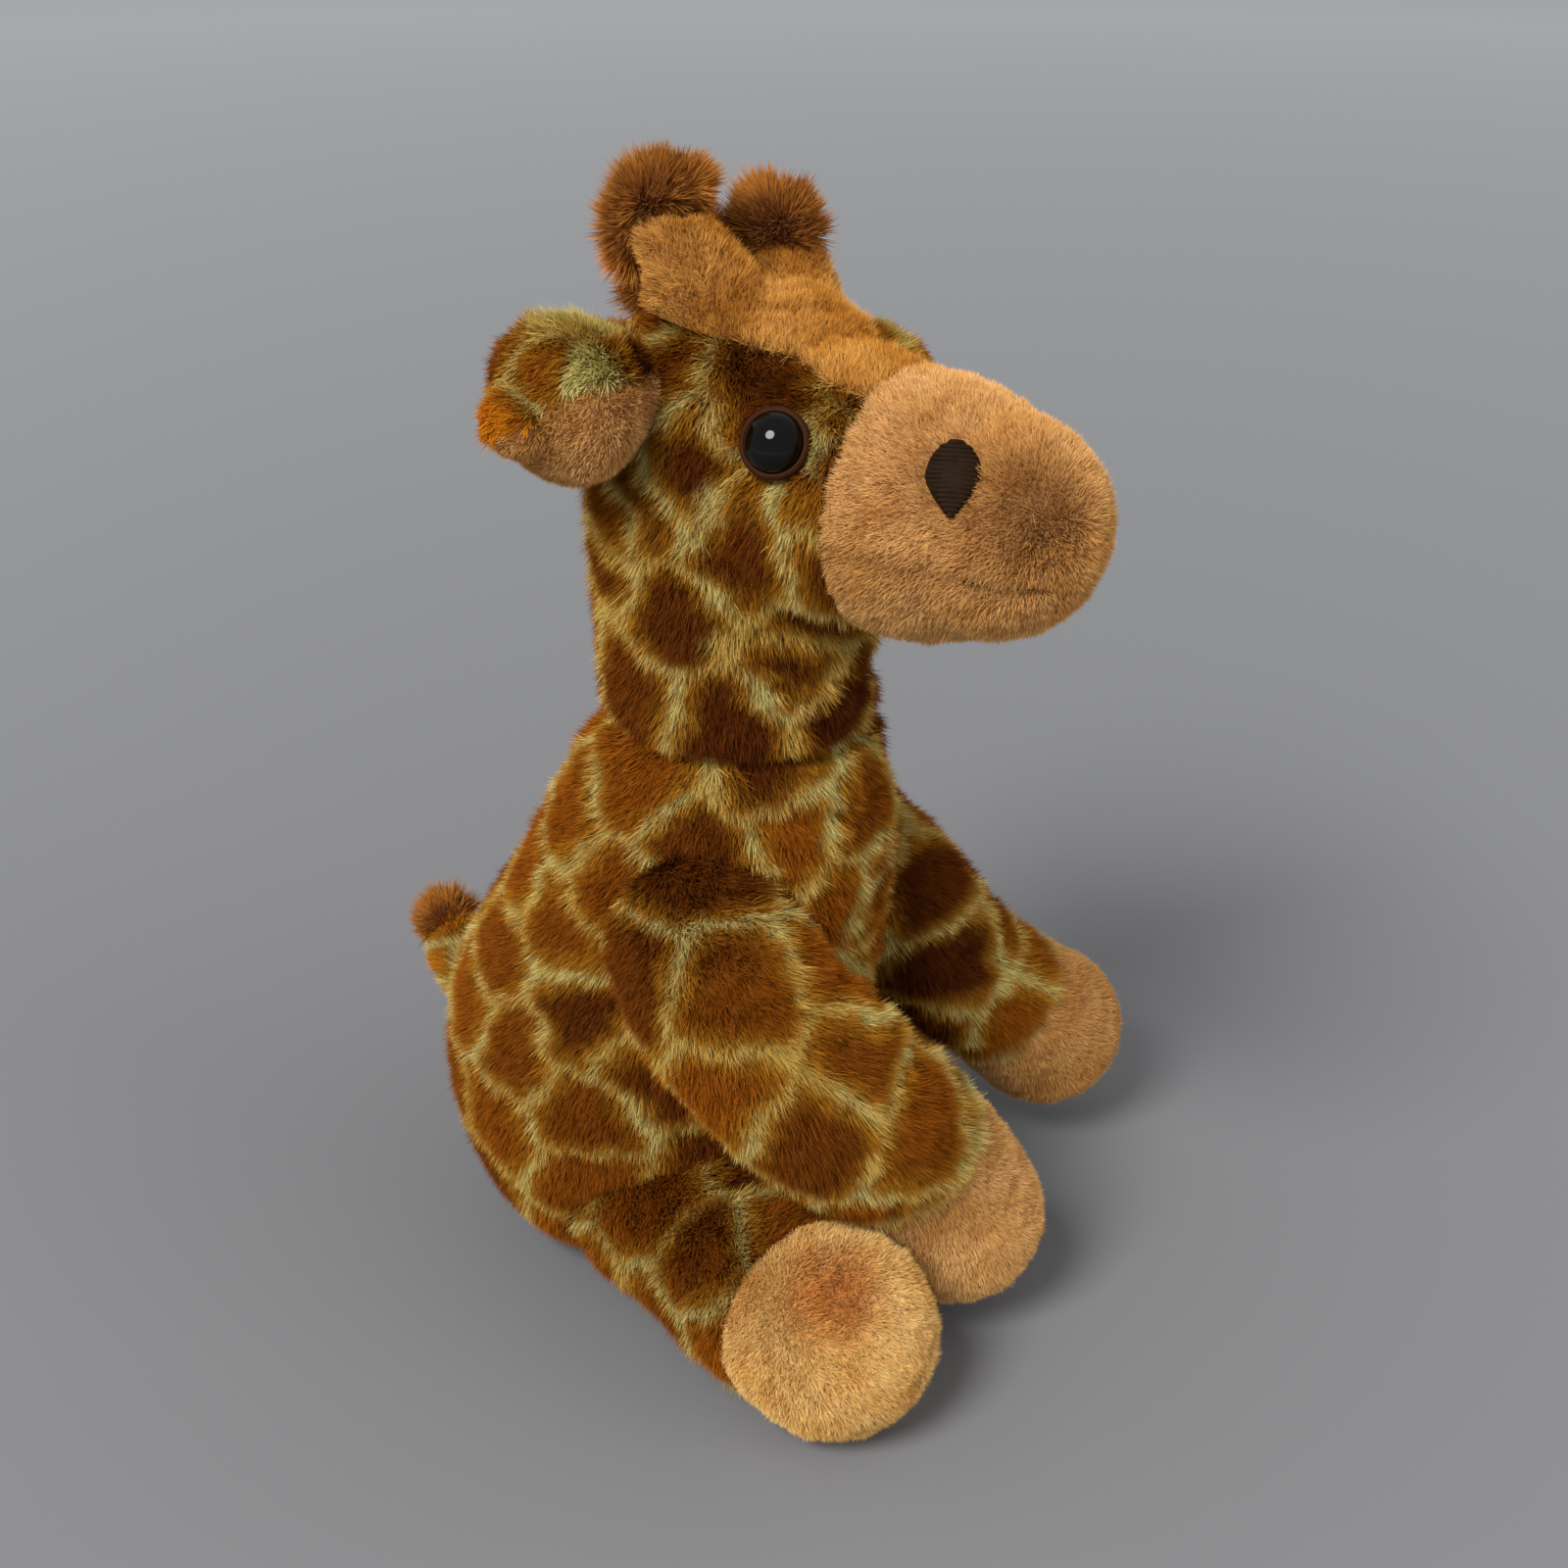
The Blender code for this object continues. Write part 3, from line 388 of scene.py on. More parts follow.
head = face_and_head("head_cloth", -BODY_DEPTH)
shape(head, slab("below neck", HEAD_FOOT, (0, 0, -1)))
shape(head, forehead_block(2 * PANEL_GAP))
forehead = face_and_head("forehead_cloth", -VELOUR_DEPTH)
shape(forehead, forehead_block(0), "INTERSECT")
JAW_POINT = head_place(0, .0720, .1983)
JAW_WAY = HEAD_TURN @ Vector((0, -math.sin(math.radians(4)), math.cos(math.radians(4))))
muzzle = make_bag("muzzle_cloth", "muzzle", -VELOUR_DEPTH, sides=96)
jaw = make_bag("jaw_cloth", "muzzle", -VELOUR_DEPTH, sides=96)
for piece in (muzzle, jaw):
    shape(piece, make_bag("head room", "head", ROOM))
    shape(piece, make_bag("face room", "face", ROOM))
shape(muzzle, slab("under muzzle", JAW_POINT + JAW_WAY * PANEL_GAP, -JAW_WAY))
shape(jaw, slab("over jaw", JAW_POINT, JAW_WAY))
print("head cloth:", len(head.data.polygons), "faces, muzzle", len(muzzle.data.polygons))

# %% [markdown]
# An ear is two panels sewn round their edge: a patterned back that curls forward, and a tan lining inside it.
# Both are cut from one bag, the lining moved towards the ear's mouth by the wall's thickness. Horn stalks are
# short cones that grow out of the forehead, and their tufts, the mane and the tail's end are small cores that
# carry long pile.

# %% Ears, horns, mane and tail
MOUTH = HEAD_TURN @ Vector((0, -math.cos(math.radians(66)), -math.sin(math.radians(66))))
EAR_PIVOTS = {"right": (-.03632, -.029, .22168), "left": (.0364, -.029, .21532)}
EAR_WALL = 0.0042
EAR_SWINGS = (0, -20, 20)
ears = {}
for side, pivot in EAR_PIVOTS.items():
    form = {"sides": 48, "across": tuple(MOUTH)}
    back = make_bag("ear_back_cloth_" + side, "ear_" + side, -SHORT_DEPTH, **form)
    inward = {"shift": MOUTH * EAR_WALL, **form}
    lining = make_bag("ear_lining_cloth_" + side, "ear_" + side, -SHORT_DEPTH, **inward)
    shape(lining, make_bag("outline", "ear_" + side, -SHORT_DEPTH, **form), "INTERSECT")
    shape(back, make_bag("hood", "ear_" + side, -2 * PANEL_GAP, **inward))
    for swing in EAR_SWINGS:
        for piece in (back, lining):
            shape(piece, turned(make_bag("temple", "head", ROOM), pivot, (0, 1, 0), -swing))
    ears[side] = (back, lining)

TUFT_FEET = {"right": .2525, "left": .2440}
horns = {}
for side in ("right", "left"):
    stalk = make_bag("horn_stalk_cloth_" + side, "stalk_" + side, -SHORT_DEPTH, sides=32)
    shape(stalk, forehead_block(0), "INTERSECT")
    shape(stalk, make_bag("crown", "head", -BODY_DEPTH + ROOM))
    shape(stalk, slab("in tuft", (0, 0, TUFT_FEET[side]), (0, 0, 1)))
    tuft = make_bag("horn_tuft_core_" + side, "tuft_" + side, -TUFT_DEPTH, sides=32)
    shape(tuft, make_bag("stalk room", "stalk_" + side, -VELOUR_DEPTH, sides=32))
    horns[side] = (stalk, tuft)
mane = make_bag("mane_core", "mane", -TUFT_DEPTH, sides=32)
shape(mane, make_bag("crown", "head", -BODY_DEPTH + ROOM))
tail = make_bag("tail_cloth", "tail", -TAIL_DEPTH, sides=32)
tail_tuft = make_bag("tail_tuft_core", "tail_tuft", -TAIL_TUFT_DEPTH, sides=32)
shape(tail_tuft, make_bag("tail room", "tail", -SHORT_DEPTH, sides=32))
print("ear faces:", [len(piece.data.polygons) for pair in ears.values() for piece in pair])

# %% [markdown]
# Each arm is a patterned sleeve with a tan hoof, and each leg a patterned tube with a pale foot. Sleeve and
# hoof are the same bag cut by the two sides of one plane, so they meet in a seam. The arms also give way to
# the belly, at rest and where they swing, and to the legs.

# %% Arms and legs
limbs = {}
for side, limb in LIMBS.items():
    seam = Vector(limb["seam"])
    normal = Vector(limb["normal"])
    sleeve = make_bag("arm_sleeve_cloth_" + side, "arm_" + side, -BODY_DEPTH)
    hoof = make_bag("arm_hoof_cloth_" + side, "arm_" + side, -VELOUR_DEPTH)
    for piece in (sleeve, hoof):
        shape(piece, make_bag("leg room", "leg_" + side, 0, across=LEG_ACROSS))
        shape(piece, slab("shoulder seam", seam, -normal))
        for swing in limb["swings"]:
            belly = turned(make_bag("belly", "torso", TURN_ROOM if swing else ROOM), seam, normal, -swing)
            start, end = seam - normal * POCKET_REACH, seam + normal * POCKET_REACH
            shape(belly, round_tool("pocket", start, end, limb["root"] + ROOM))
            shape(piece, belly)
    shape(sleeve, slab("past cuff", limb["cuff"], limb["cuff_way"]))
    cuff_start = Vector(limb["cuff"]) + Vector(limb["cuff_way"]) * PANEL_GAP
    shape(hoof, slab("before cuff", cuff_start, -Vector(limb["cuff_way"])))
    leg = make_bag("leg_cloth_" + side, "leg_" + side, -BODY_DEPTH, across=LEG_ACROSS)
    foot = make_bag("leg_foot_cloth_" + side, "leg_" + side, -VELOUR_DEPTH, across=LEG_ACROSS)
    shape(leg, slab("past ankle", limb["ankle"], limb["ankle_way"]))
    ankle_start = Vector(limb["ankle"]) + Vector(limb["ankle_way"]) * PANEL_GAP
    shape(foot, slab("before ankle", ankle_start, -Vector(limb["ankle_way"])))
    shape(leg, below_floor())
    shape(foot, below_floor())
    limbs[side] = {"sleeve": sleeve, "hoof": hoof, "leg": leg, "foot": foot}
print({side: [len(piece.data.polygons) for piece in parts.values()] for side, parts in limbs.items()})

# %% [markdown]
# Before the pile grows, each cloth learns three things about it: which faces lie inside a seam and grow none,
# which way the pile is combed, and how long it stands. They are kept as attributes, which Geometry Nodes can
# read. Two more, pale and tone, start at nothing and are painted in later.

# %% Reading and writing a mesh
def read(items, field, width):
    values = np.empty(len(items) * width)
    items.foreach_get(field, values)
    return values.reshape(-1, width)


def smooth_step(low, high, values):
    share = np.clip((values - low) / (high - low), 0, 1)
    return share * share * (3 - 2 * share)


def write_attribute(mesh, name, kind, domain, values):
    made = mesh.attributes.new(name, kind, domain)
    field = "vector" if kind == "FLOAT_VECTOR" else "value"
    made.data.foreach_set(field, np.ascontiguousarray(values).ravel())

# %% What the cloth knows about its pile
SKIN_REACH = .00025
EDGE_REACH = .0035


def prepare(piece, bags, depth, comb_bag, comb_sign=1, sag=0.3, edge=0.55, sides=96, across=(1, 0, 0)):
    """Marks the faces inside seams, shortens the pile at their edges and combs it along a bag."""
    mesh = piece.data
    points = read(mesh.vertices, "co", 3)
    centres = read(mesh.polygons, "center", 3)
    far = np.full(len(centres), 1.0 if bags else 0.0)
    for bag in bags:
        outer_points, outer_faces = bag_mesh(bag, -depth, sides=sides, across=across)
        tree = BVHTree.FromPolygons(outer_points, outer_faces)
        reach = np.array([tree.find_nearest(Vector(centre))[3] for centre in centres])
        far = np.minimum(far, reach)
    inside = far > SKIN_REACH
    write_attribute(mesh, "inside", "BOOLEAN", "FACE", inside)
    border = set()
    for polygon in mesh.polygons:
        if inside[polygon.index]:
            border.update(polygon.vertices)
    pile = np.ones(len(points))
    if border:
        tree = KDTree(len(border))
        for index in border:
            tree.insert(points[index], index)
        tree.balance()
        reach = np.array([tree.find(point)[2] for point in points])
        pile = edge + (1 - edge) * smooth_step(0, EDGE_REACH, reach)
    write_attribute(mesh, "pile", "FLOAT", "POINT", pile)
    path = bag_path(comb_bag)[:, :3]
    ways = np.gradient(path, axis=0)
    ways /= np.linalg.norm(ways, axis=1)[:, None]
    nearest = ((points[:, None] - path[None]) ** 2).sum(axis=2).argmin(axis=1)
    flow = ways[nearest] * comb_sign + np.array((0, 0, -sag))
    normals = read(mesh.vertices, "normal", 3)
    flow -= normals * (flow * normals).sum(axis=1)[:, None]
    flow /= np.linalg.norm(flow, axis=1)[:, None] + 1e-6
    write_attribute(mesh, "comb", "FLOAT_VECTOR", "POINT", flow)
    for name in ("pale", "tone"):
        write_attribute(mesh, name, "FLOAT", "POINT", np.zeros(len(points)))


prepare(torso, ["torso"], BODY_DEPTH, "torso", -1, 0.2, edge=.8)
prepare(head, ["head", "face", "brow"], BODY_DEPTH, "head", -1, 0.2)
prepare(forehead, ["head", "face", "brow"], VELOUR_DEPTH, "head", 1, 0.0, edge=1)
prepare(muzzle, ["muzzle"], VELOUR_DEPTH, "muzzle", -1, 0.2, edge=.9)
prepare(jaw, ["muzzle"], VELOUR_DEPTH, "muzzle", -1, 0.2, edge=.9)
for side, (back, lining) in ears.items():
    prepare(back, ["ear_" + side], SHORT_DEPTH, "ear_" + side, 1, 0.1, edge=.8, sides=48, across=tuple(MOUTH))
    prepare(lining, [], SHORT_DEPTH, "ear_" + side, 1, 0.1)
for side, (stalk, tuft) in horns.items():
    prepare(stalk, ["stalk_" + side], SHORT_DEPTH, "stalk_" + side, 1, 0, sides=32)
    prepare(tuft, ["tuft_" + side], TUFT_DEPTH, "tuft_" + side, 1, 0, edge=.8, sides=32)
prepare(mane, ["mane"], TUFT_DEPTH, "mane", 1, 0, edge=.8, sides=32)
prepare(tail, ["tail"], TAIL_DEPTH, "tail", 1, 0.2, sides=32)
prepare(tail_tuft, ["tail_tuft"], TAIL_TUFT_DEPTH, "tail_tuft", 1, 0, edge=.9, sides=32)
for side, parts in limbs.items():
    prepare(parts["sleeve"], ["arm_" + side], BODY_DEPTH, "arm_" + side, 1, 0.2, edge=.8, sides=64)
    prepare(parts["hoof"], ["arm_" + side], VELOUR_DEPTH, "arm_" + side, 1, 0.1, sides=64)
    prepare(parts["leg"], ["leg_" + side], BODY_DEPTH, "leg_" + side, 1, 0.2, sides=64, across=LEG_ACROSS)
    prepare(parts["foot"], ["leg_" + side], VELOUR_DEPTH, "leg_" + side, 1, 0.1, sides=64, across=LEG_ACROSS)
print("faces of the torso inside seams:", sum(item.value for item in torso.data.attributes["inside"].data))

# %% [markdown]
# Stuffed cloth isn't a perfect tube. It pulls in along its seams, folds where a limb bends, and dimples where
# a stitch holds the sole. A cloth simulation would fold it by chance, so each such place is a line on the
# cloth instead, and the points near it sink a little.

# %% Creases and dimples
def reach_to_line(points, line):
    """How far each point is from a line of places."""
    best = np.full(len(points), 9.0)
    for start, end in zip(line, line[1:]):
        start = np.array(start)
        way = np.array(end) - start
        along = np.clip(((points - start) @ way) / max(way @ way, 1e-12), 0, 1)
        best = np.minimum(best, np.linalg.norm(points - start - along[:, None] * way, axis=1))
    return best


def crease(piece, line, radius, depth):
    """Sinks the cloth along a line, most on the line and not at all past its radius."""
    points = read(piece.data.vertices, "co", 3)
    normals = read(piece.data.vertices, "normal", 3)
    sink = (1 - smooth_step(0, radius, reach_to_line(points, line))) * depth
    piece.data.vertices.foreach_set("co", (points - normals * sink[:, None]).ravel())
    piece.data.update()


def hoop(centre, radius, start=0, end=360, tilt=0.0):
    """Places round an upright axis, in degrees from the toy's left, for a crease that goes round a bag."""
    turns = [math.radians(start + (end - start) * step / 24) for step in range(25)]
    return [(centre[0] + radius * math.cos(turn), centre[1] + radius * math.sin(turn),
             centre[2] + tilt * math.sin(turn)) for turn in turns]


crease(torso, hoop(NECK_TOP, .0275), .007, .0022)
crease(head, hoop(HEAD_FOOT, .0275), .006, .0020)
crease(head, hoop((0, -.0325, .1600), .029, 300, 400), .016, .0030)
crease(torso, hoop((0, -.0320, .1350), .030, 190, 330, .003), .005, .0016)
crease(head, hoop((-.003, -.034, .1640), .030, 200, 300, .002), .004, .0012)
CHEEK = [(-.024, -.079, .224), (-.028, -.079, .212), (-.028, -.078, .196), (-.018, -.074, .180)]
crease(head, CHEEK, .004, .0012)
crease(limbs["right"]["sleeve"], [(-.052, -.052, .083), (-.042, -.058, .070)], .007, .0030)
crease(limbs["right"]["sleeve"], [(-.014, -.088, .094), (-.006, -.090, .082)], .006, .0020)
crease(limbs["left"]["sleeve"], [(.052, -.056, .072), (.066, -.054, .062)], .006, .0020)
crease(limbs["right"]["leg"], [(-.040, -.044, .036), (-.022, -.050, .041)], .006, .0022)
SOLE = Vector((-.0380, -.0935, .0395))
crease(limbs["right"]["foot"], [(-.0360, -.0900, .0415), SOLE], .010, .0040)
crease(limbs["right"]["foot"], [SOLE, (-.0420, -.1000, .0280)], .005, .0020)
print("creases sunk, the deepest by 4 mm at the sole")

# %% [markdown]
# The patches are a printed giraffe pattern: dark rust polygons with golden rims, parted by pale lines. Such
# polygons are the cells of a Voronoi diagram, where each place takes the patch whose centre is nearest. A
# shader's own Voronoi can't be told where its cells lie, so the centres are listed where the toy shows
# them, and the rest of each cloth is filled with centres as far from each other as they can be.

# %% Patch centres
# Each is x, y, z and a tone from 0, dark, to 1, orange. A tone under 0 is a pale place without a patch.
SEEDS = {
    "torso": ((-.0263, -.0467, .1249, .35), (-.0172, -.0600, .1460, .1), (-.0310, -.0282, .1420, .9),
              (-.0326, -.0135, .1258, .8), (-.0138, -.0610, .1298, .9), (.0066, -.0629, .1277, .6),
              (.0111, -.0617, .1135, .7), (-.0005, -.0637, .1127, .8), (-.0290, .0064, .1080, .8),
              (-.0376, -.0283, .1158, .7), (-.0394, -.0163, .1024, .7), (-.0379, .0081, .0863, .7),
              (-.0415, -.0231, .0832, .2), (-.0460, -.0046, .0672, .6), (-.0469, .0026, .0496, .8),
              (-.0399, .0156, .0728, .8), (-.0350, -.0372, .0732, .3), (-.0430, -.0223, .0587, .6),
              (-.0193, -.0430, .0426, .3), (-.0408, -.0211, .0382, .7)),
    "head": ((-.0221, -.0584, .2257, .3), (-.0320, -.0459, .2107, .15), (-.0345, -.0369, .2049, .15),
             (-.0268, -.0600, .1948, .25), (-.0271, -.0790, .2150, .6), (-.0328, -.0427, .1794, .2),
             (-.0320, -.0293, .1645, .35), (-.0331, -.0260, .1876, .3), (-.0120, -.0652, .1778, .1),
             (-.0144, -.0633, .1698, .1), (-.0249, -.0544, .1560, .1), (-.0029, -.0644, .1585, .05),
             (-.0293, -.0345, .2275, .6), (-.0334, -.0277, .1975, .6)),
    "arm_right": ((-.0263, -.0467, .1249, .35), (-.0412, -.0676, .1069, .7), (-.0160, -.0727, .1027, .8),
                  (-.0230, -.0873, .0899, .6), (-.0366, -.0842, .0769, .4), (-.0117, -.0946, .0728, .7),
                  (-.0474, -.0675, .0847, .9), (-.0475, -.0447, .1007, .4)),
    "arm_left": ((.0441, -.0525, .0926, .2), (.0461, -.0547, .0708, .05), (.0546, -.0392, .0454, .2)),
    "leg_right": ((-.0387, -.0328, .0329, .9), (-.0431, -.0564, .0321, .7), (-.0482, -.0656, .0194, 1)),
    "leg_left": ((.0500, -.0050, .0400, .4),),
    "ear_right": ((-.0385, -.0410, .2300, .3), (-.0475, -.0420, .2290, -1), (-.0420, -.0300, .2380, -1),
                  (-.0535, -.0360, .2320, 1), (-.0615, -.0300, .2215, 2)),
    "ear_left": ((.0440, -.0300, .2260, .4), (.0560, -.0320, .2140, 1)),
    "tail": ((0, .0600, .0480, 1), (-.0066, .0710, .0440, 1.7), (-.0040, .0640, .0340, 1.2),
             (-.0040, .0745, .0510, 2)),
}


def fill_seeds(cloth, given, spacing):
    """Adds patch centres over the rest of a cloth, each at the place farthest from those before it."""
    points = read(cloth.data.vertices, "co", 3)
    random = np.random.default_rng(7)
    seeds = list(given)
    gaps = np.min([np.linalg.norm(points - seed[:3], axis=1) for seed in seeds], axis=0)
    while gaps.max() > spacing:
        far = points[gaps.argmax()]
        seeds.append((*far, random.uniform(.2, .9)))
        gaps = np.minimum(gaps, np.linalg.norm(points - far, axis=1))
    return np.array(seeds)


WAVES = ((210, .0016), (340, .0011), (560, .0007), (1100, .0004))
WAVE_SHARE = .42


def wander(places):
    """A smooth shift of a few millimetres that bends the lines between the patches."""
    random = np.random.default_rng(3)
    shift = np.zeros_like(places)
    for wave, height in WAVES:
        for way in random.normal(size=(3, 3)):
            phase = places @ (way / np.linalg.norm(way) * wave) + random.uniform(0, 6)
            shift += np.sin(phase)[:, None] * random.normal(size=3) * height * WAVE_SHARE
    return places + shift


def patch_values(places, seeds):
    """At each place, the millimetres to the nearest line and the tone of its patch."""
    rims = np.empty(len(places))
    tones = np.empty(len(places))
    between = np.linalg.norm(seeds[:, None, :3] - seeds[None, :, :3], axis=2) + 1e-9
    moved = wander(places)
    for start in range(0, len(places), 20000):
        part = slice(start, start + 20000)
        apart = ((moved[part, None] - seeds[None, :, :3]) ** 2).sum(axis=2)
        own = apart.argmin(axis=1)
        row = np.arange(len(own))
        edges = (apart - apart[row, own][:, None]) / (2 * between[own])
        edges[row, own] = 1
        rims[part] = edges.min(axis=1) * 1000
        tones[part] = seeds[own, 3]
    return rims, tones


print("patch centres set by hand:", sum(len(rows) for rows in SEEDS.values()))

# %% [markdown]
# Materials are built from nodes in code. A few helpers keep that short: one makes a node with its inputs set
# or linked by name, and others wrap the nodes that come back again and again.

# %% Node helpers
def sockets(group, inputs, outputs):
    for name, kind, value in inputs:
        made = group.interface.new_socket(name, in_out="INPUT", socket_type=kind)
        if value is not None:
            made.default_value = value
    for name, kind in outputs:
        group.interface.new_socket(name, in_out="OUTPUT", socket_type=kind)


def feed(tree, socket, value):
    """Links a socket to another, or gives it a plain value."""
    if isinstance(value, bpy.types.NodeSocket):
        tree.links.new(value, socket)
    else:
        socket.default_value = value


def node(tree, kind, settings=None, **inputs):
    """A node with its settings, and its inputs set or linked by name, or by number after an underscore."""
    made = tree.nodes.new(kind)
    for key, value in (settings or {}).items():
        setattr(made, key, value)
    for key, value in inputs.items():
        socket = made.inputs[int(key[1:])] if key[0] == "_" else made.inputs[key.replace("_", " ")]
        feed(tree, socket, value)
    return made


def math_node(tree, operation, first, second=0.0, third=0.0, clamp=False):
    return node(tree, "ShaderNodeMath", {"operation": operation, "use_clamp": clamp},
                _0=first, _1=second, _2=third).outputs[0]


def blend_colour(tree, factor, first, second, kind="MIX"):
    made = node(tree, "ShaderNodeMix", {"data_type": "RGBA", "blend_type": kind, "clamp_factor": True},
                _0=factor, _6=first, _7=second)
    return made.outputs[2]


def ranged(tree, value, low, high, to_low=0.0, to_high=1.0, smooth=True):
    kind = "SMOOTHSTEP" if smooth else "LINEAR"
    return node(tree, "ShaderNodeMapRange", {"interpolation_type": kind},
                _0=value, _1=low, _2=high, _3=to_low, _4=to_high).outputs[0]


def noise(tree, place, scale, detail=2.0):
    return node(tree, "ShaderNodeTexNoise", Vector=place, Scale=scale, Detail=detail).outputs["Fac"]


def object_place(tree):
    return tree.nodes.new("ShaderNodeTexCoord").outputs["Object"]


def attribute(tree, name, output="Fac"):
    made = tree.nodes.new("ShaderNodeAttribute")
    made.attribute_name = name
    return made.outputs[output]


def written(red, green, blue):
    """A colour given as it looks on a screen, 0 to 255, as the linear values a shader takes."""
    def linear(value):
        value /= 255
        return value / 12.92 if value <= .04045 else ((value + .055) / 1.055) ** 2.4
    return (linear(red), linear(green), linear(blue), 1)

# %% [markdown]
# The colours of a patch are one node group, because the cloth under the pile and the pile itself carry the
# same print. It takes the distance to the line and the tone, and breaks the edge up with a fine noise.

# %% Giraffe patches
def patches_group():
    group = bpy.data.node_groups.new("giraffe patches", "ShaderNodeTree")
    sockets(group, (("Vector", "NodeSocketVector", None), ("Rim", "NodeSocketFloat", 5.0),
                    ("Tone", "NodeSocketFloat", 0.5), ("Pale", "NodeSocketFloat", 0.0)),
            (("Color", "NodeSocketColor"),))
    start, end = group.nodes.new("NodeGroupInput"), group.nodes.new("NodeGroupOutput")
    place, rim, tone, pale = start.outputs[:4]
    fuzz = noise(group, place, 750.0)
    rim = math_node(group, "ADD", rim, math_node(group, "MULTIPLY_ADD", fuzz, 3.0, -1.5))
    broad = noise(group, place, 60.0)
    rust = blend_colour(group, tone, written(88, 40, 12), written(162, 90, 18))
    rust = blend_colour(group, ranged(group, tone, 1, 2), rust, written(214, 132, 24))
    gold = blend_colour(group, broad, written(166, 102, 20), written(186, 132, 36))
    patch = blend_colour(group, ranged(group, rim, 1.4, 5.6), gold, rust)
    cream = blend_colour(group, ranged(group, broad, .35, .65), written(208, 172, 84), written(216, 202, 126))
    line = ranged(group, rim, .35, 1.9)
    line = math_node(group, "MULTIPLY", line, math_node(group, "SUBTRACT", 1.0, pale, clamp=True))
    line = math_node(group, "MULTIPLY", line, math_node(group, "GREATER_THAN", tone, -.5))
    feed(group, end.inputs[0], blend_colour(group, line, cream, patch))
    return group


PATCHES = patches_group()
print("patches:", len(PATCHES.nodes), "nodes")

# %% [markdown]
# A strand of pile is darker at its root, where little light reaches, and no two strands are dyed alike. That
# shade is a group of its own, and so is the fine weave of the cloth under the pile, since every plush here
# uses both.

# %% Shade along a strand, and the weave
def strand_group():
    """Darker at its root, lighter at its tip, and a little different from strand to strand."""
    group = bpy.data.node_groups.new("strand shade", "ShaderNodeTree")
    sockets(group, (("Color", "NodeSocketColor", (1, 1, 1, 1)), ("Along", "NodeSocketFloat", 1.0),
                    ("Strand", "NodeSocketFloat", .5), ("Root shade", "NodeSocketFloat", .55),
                    ("Tip shade", "NodeSocketFloat", 1.1), ("Variation", "NodeSocketFloat", .3)),
            (("Color", "NodeSocketColor"),))
    start, end = group.nodes.new("NodeGroupInput"), group.nodes.new("NodeGroupOutput")
    colour, along, strand, root_shade, tip_shade, variation = start.outputs[:6]
    span = math_node(group, "SUBTRACT", tip_shade, root_shade)
    level = math_node(group, "MULTIPLY_ADD", along, span, root_shade)
    off = math_node(group, "MULTIPLY", math_node(group, "SUBTRACT", strand, .5), variation)
    level = math_node(group, "MULTIPLY", level, math_node(group, "ADD", off, 1.0))
    shaded = node(group, "ShaderNodeVectorMath", {"operation": "SCALE"}, _0=colour, Scale=level).outputs[0]
    feed(group, end.inputs[0], shaded)
    return group


def weave_group():
    """The height of the cloth's fine relief."""
    group = bpy.data.node_groups.new("cloth weave", "ShaderNodeTree")
    sockets(group, (("Vector", "NodeSocketVector", None), ("Scale", "NodeSocketFloat", 1400.0)),
            (("Height", "NodeSocketFloat"),))
    start, end = group.nodes.new("NodeGroupInput"), group.nodes.new("NodeGroupOutput")
    feed(group, end.inputs[0], noise(group, start.outputs["Vector"], start.outputs["Scale"]))
    return group


STRAND = strand_group()
WEAVE = weave_group()


def new_material(name, roughness=0.9, sheen=0.0, specular=0.05):
    made = bpy.data.materials.new(name)
    made.use_nodes = True
    tree = made.node_tree
    shader = tree.nodes["Principled BSDF"]
    shader.inputs["Roughness"].default_value = roughness
    shader.inputs["Specular IOR Level"].default_value = specular
    shader.inputs["Sheen Weight"].default_value = sheen
    shader.inputs["Sheen Roughness"].default_value = .5
    return made, tree, shader


def group_node(tree, group, **inputs):
    made = tree.nodes.new("ShaderNodeGroup")
    made.node_tree = group
    for key, value in inputs.items():
        feed(tree, made.inputs[key.replace("_", " ")], value)
    return made.outputs[0]


def strand_colour(tree, shader, colour, root_shade=.55, tip_shade=1.1, variation=.35):
    shaded = group_node(tree, STRAND, Color=colour, Along=attribute(tree, "along"),
                        Strand=attribute(tree, "strand"), Root_shade=root_shade, Tip_shade=tip_shade,
                        Variation=variation)
    feed(tree, shader.inputs["Base Color"], shaded)


def cloth_colour(tree, shader, colour, place, darken, depth):
    """The shaded ground of a plush: its dye darkened by the pile above it, and its weave."""
    colour = blend_colour(tree, 1.0, colour, (darken, darken, darken, 1), "MULTIPLY")
    feed(tree, shader.inputs["Base Color"], colour)
    bump = node(tree, "ShaderNodeBump", Height=group_node(tree, WEAVE, Vector=place), Strength=.5,
                Distance=depth)
    feed(tree, shader.inputs["Normal"], bump.outputs[0])


print("groups:", [group.name for group in bpy.data.node_groups])

# %% [markdown]
# Each plush needs two materials: one for its pile, which takes its place from the strand's root, and one for
# the cloth under it, which takes it from the object. The patterned plush prints patches on both, and the
# plain ones mottle two dyes and turn to a third colour where the tone is high, mostly as painted shade.

# %% Patterned plush, as pile and as the cloth under it
def print_values(tree):
    return {"Rim": attribute(tree, "rim"), "Tone": attribute(tree, "print"), "Pale": attribute(tree, "pale")}


def patch_materials():
    pile, tree, shader = new_material("patched pile", .9)
    root = attribute(tree, "root", "Vector")
    strand_colour(tree, shader, group_node(tree, PATCHES, Vector=root, **print_values(tree)), .6, 1.2)
    cloth, tree, shader = new_material("patched cloth", 1.0)
    place = object_place(tree)
    colour = group_node(tree, PATCHES, Vector=place, **print_values(tree))
    cloth_colour(tree, shader, colour, place, .5, .0004)
    return pile, cloth

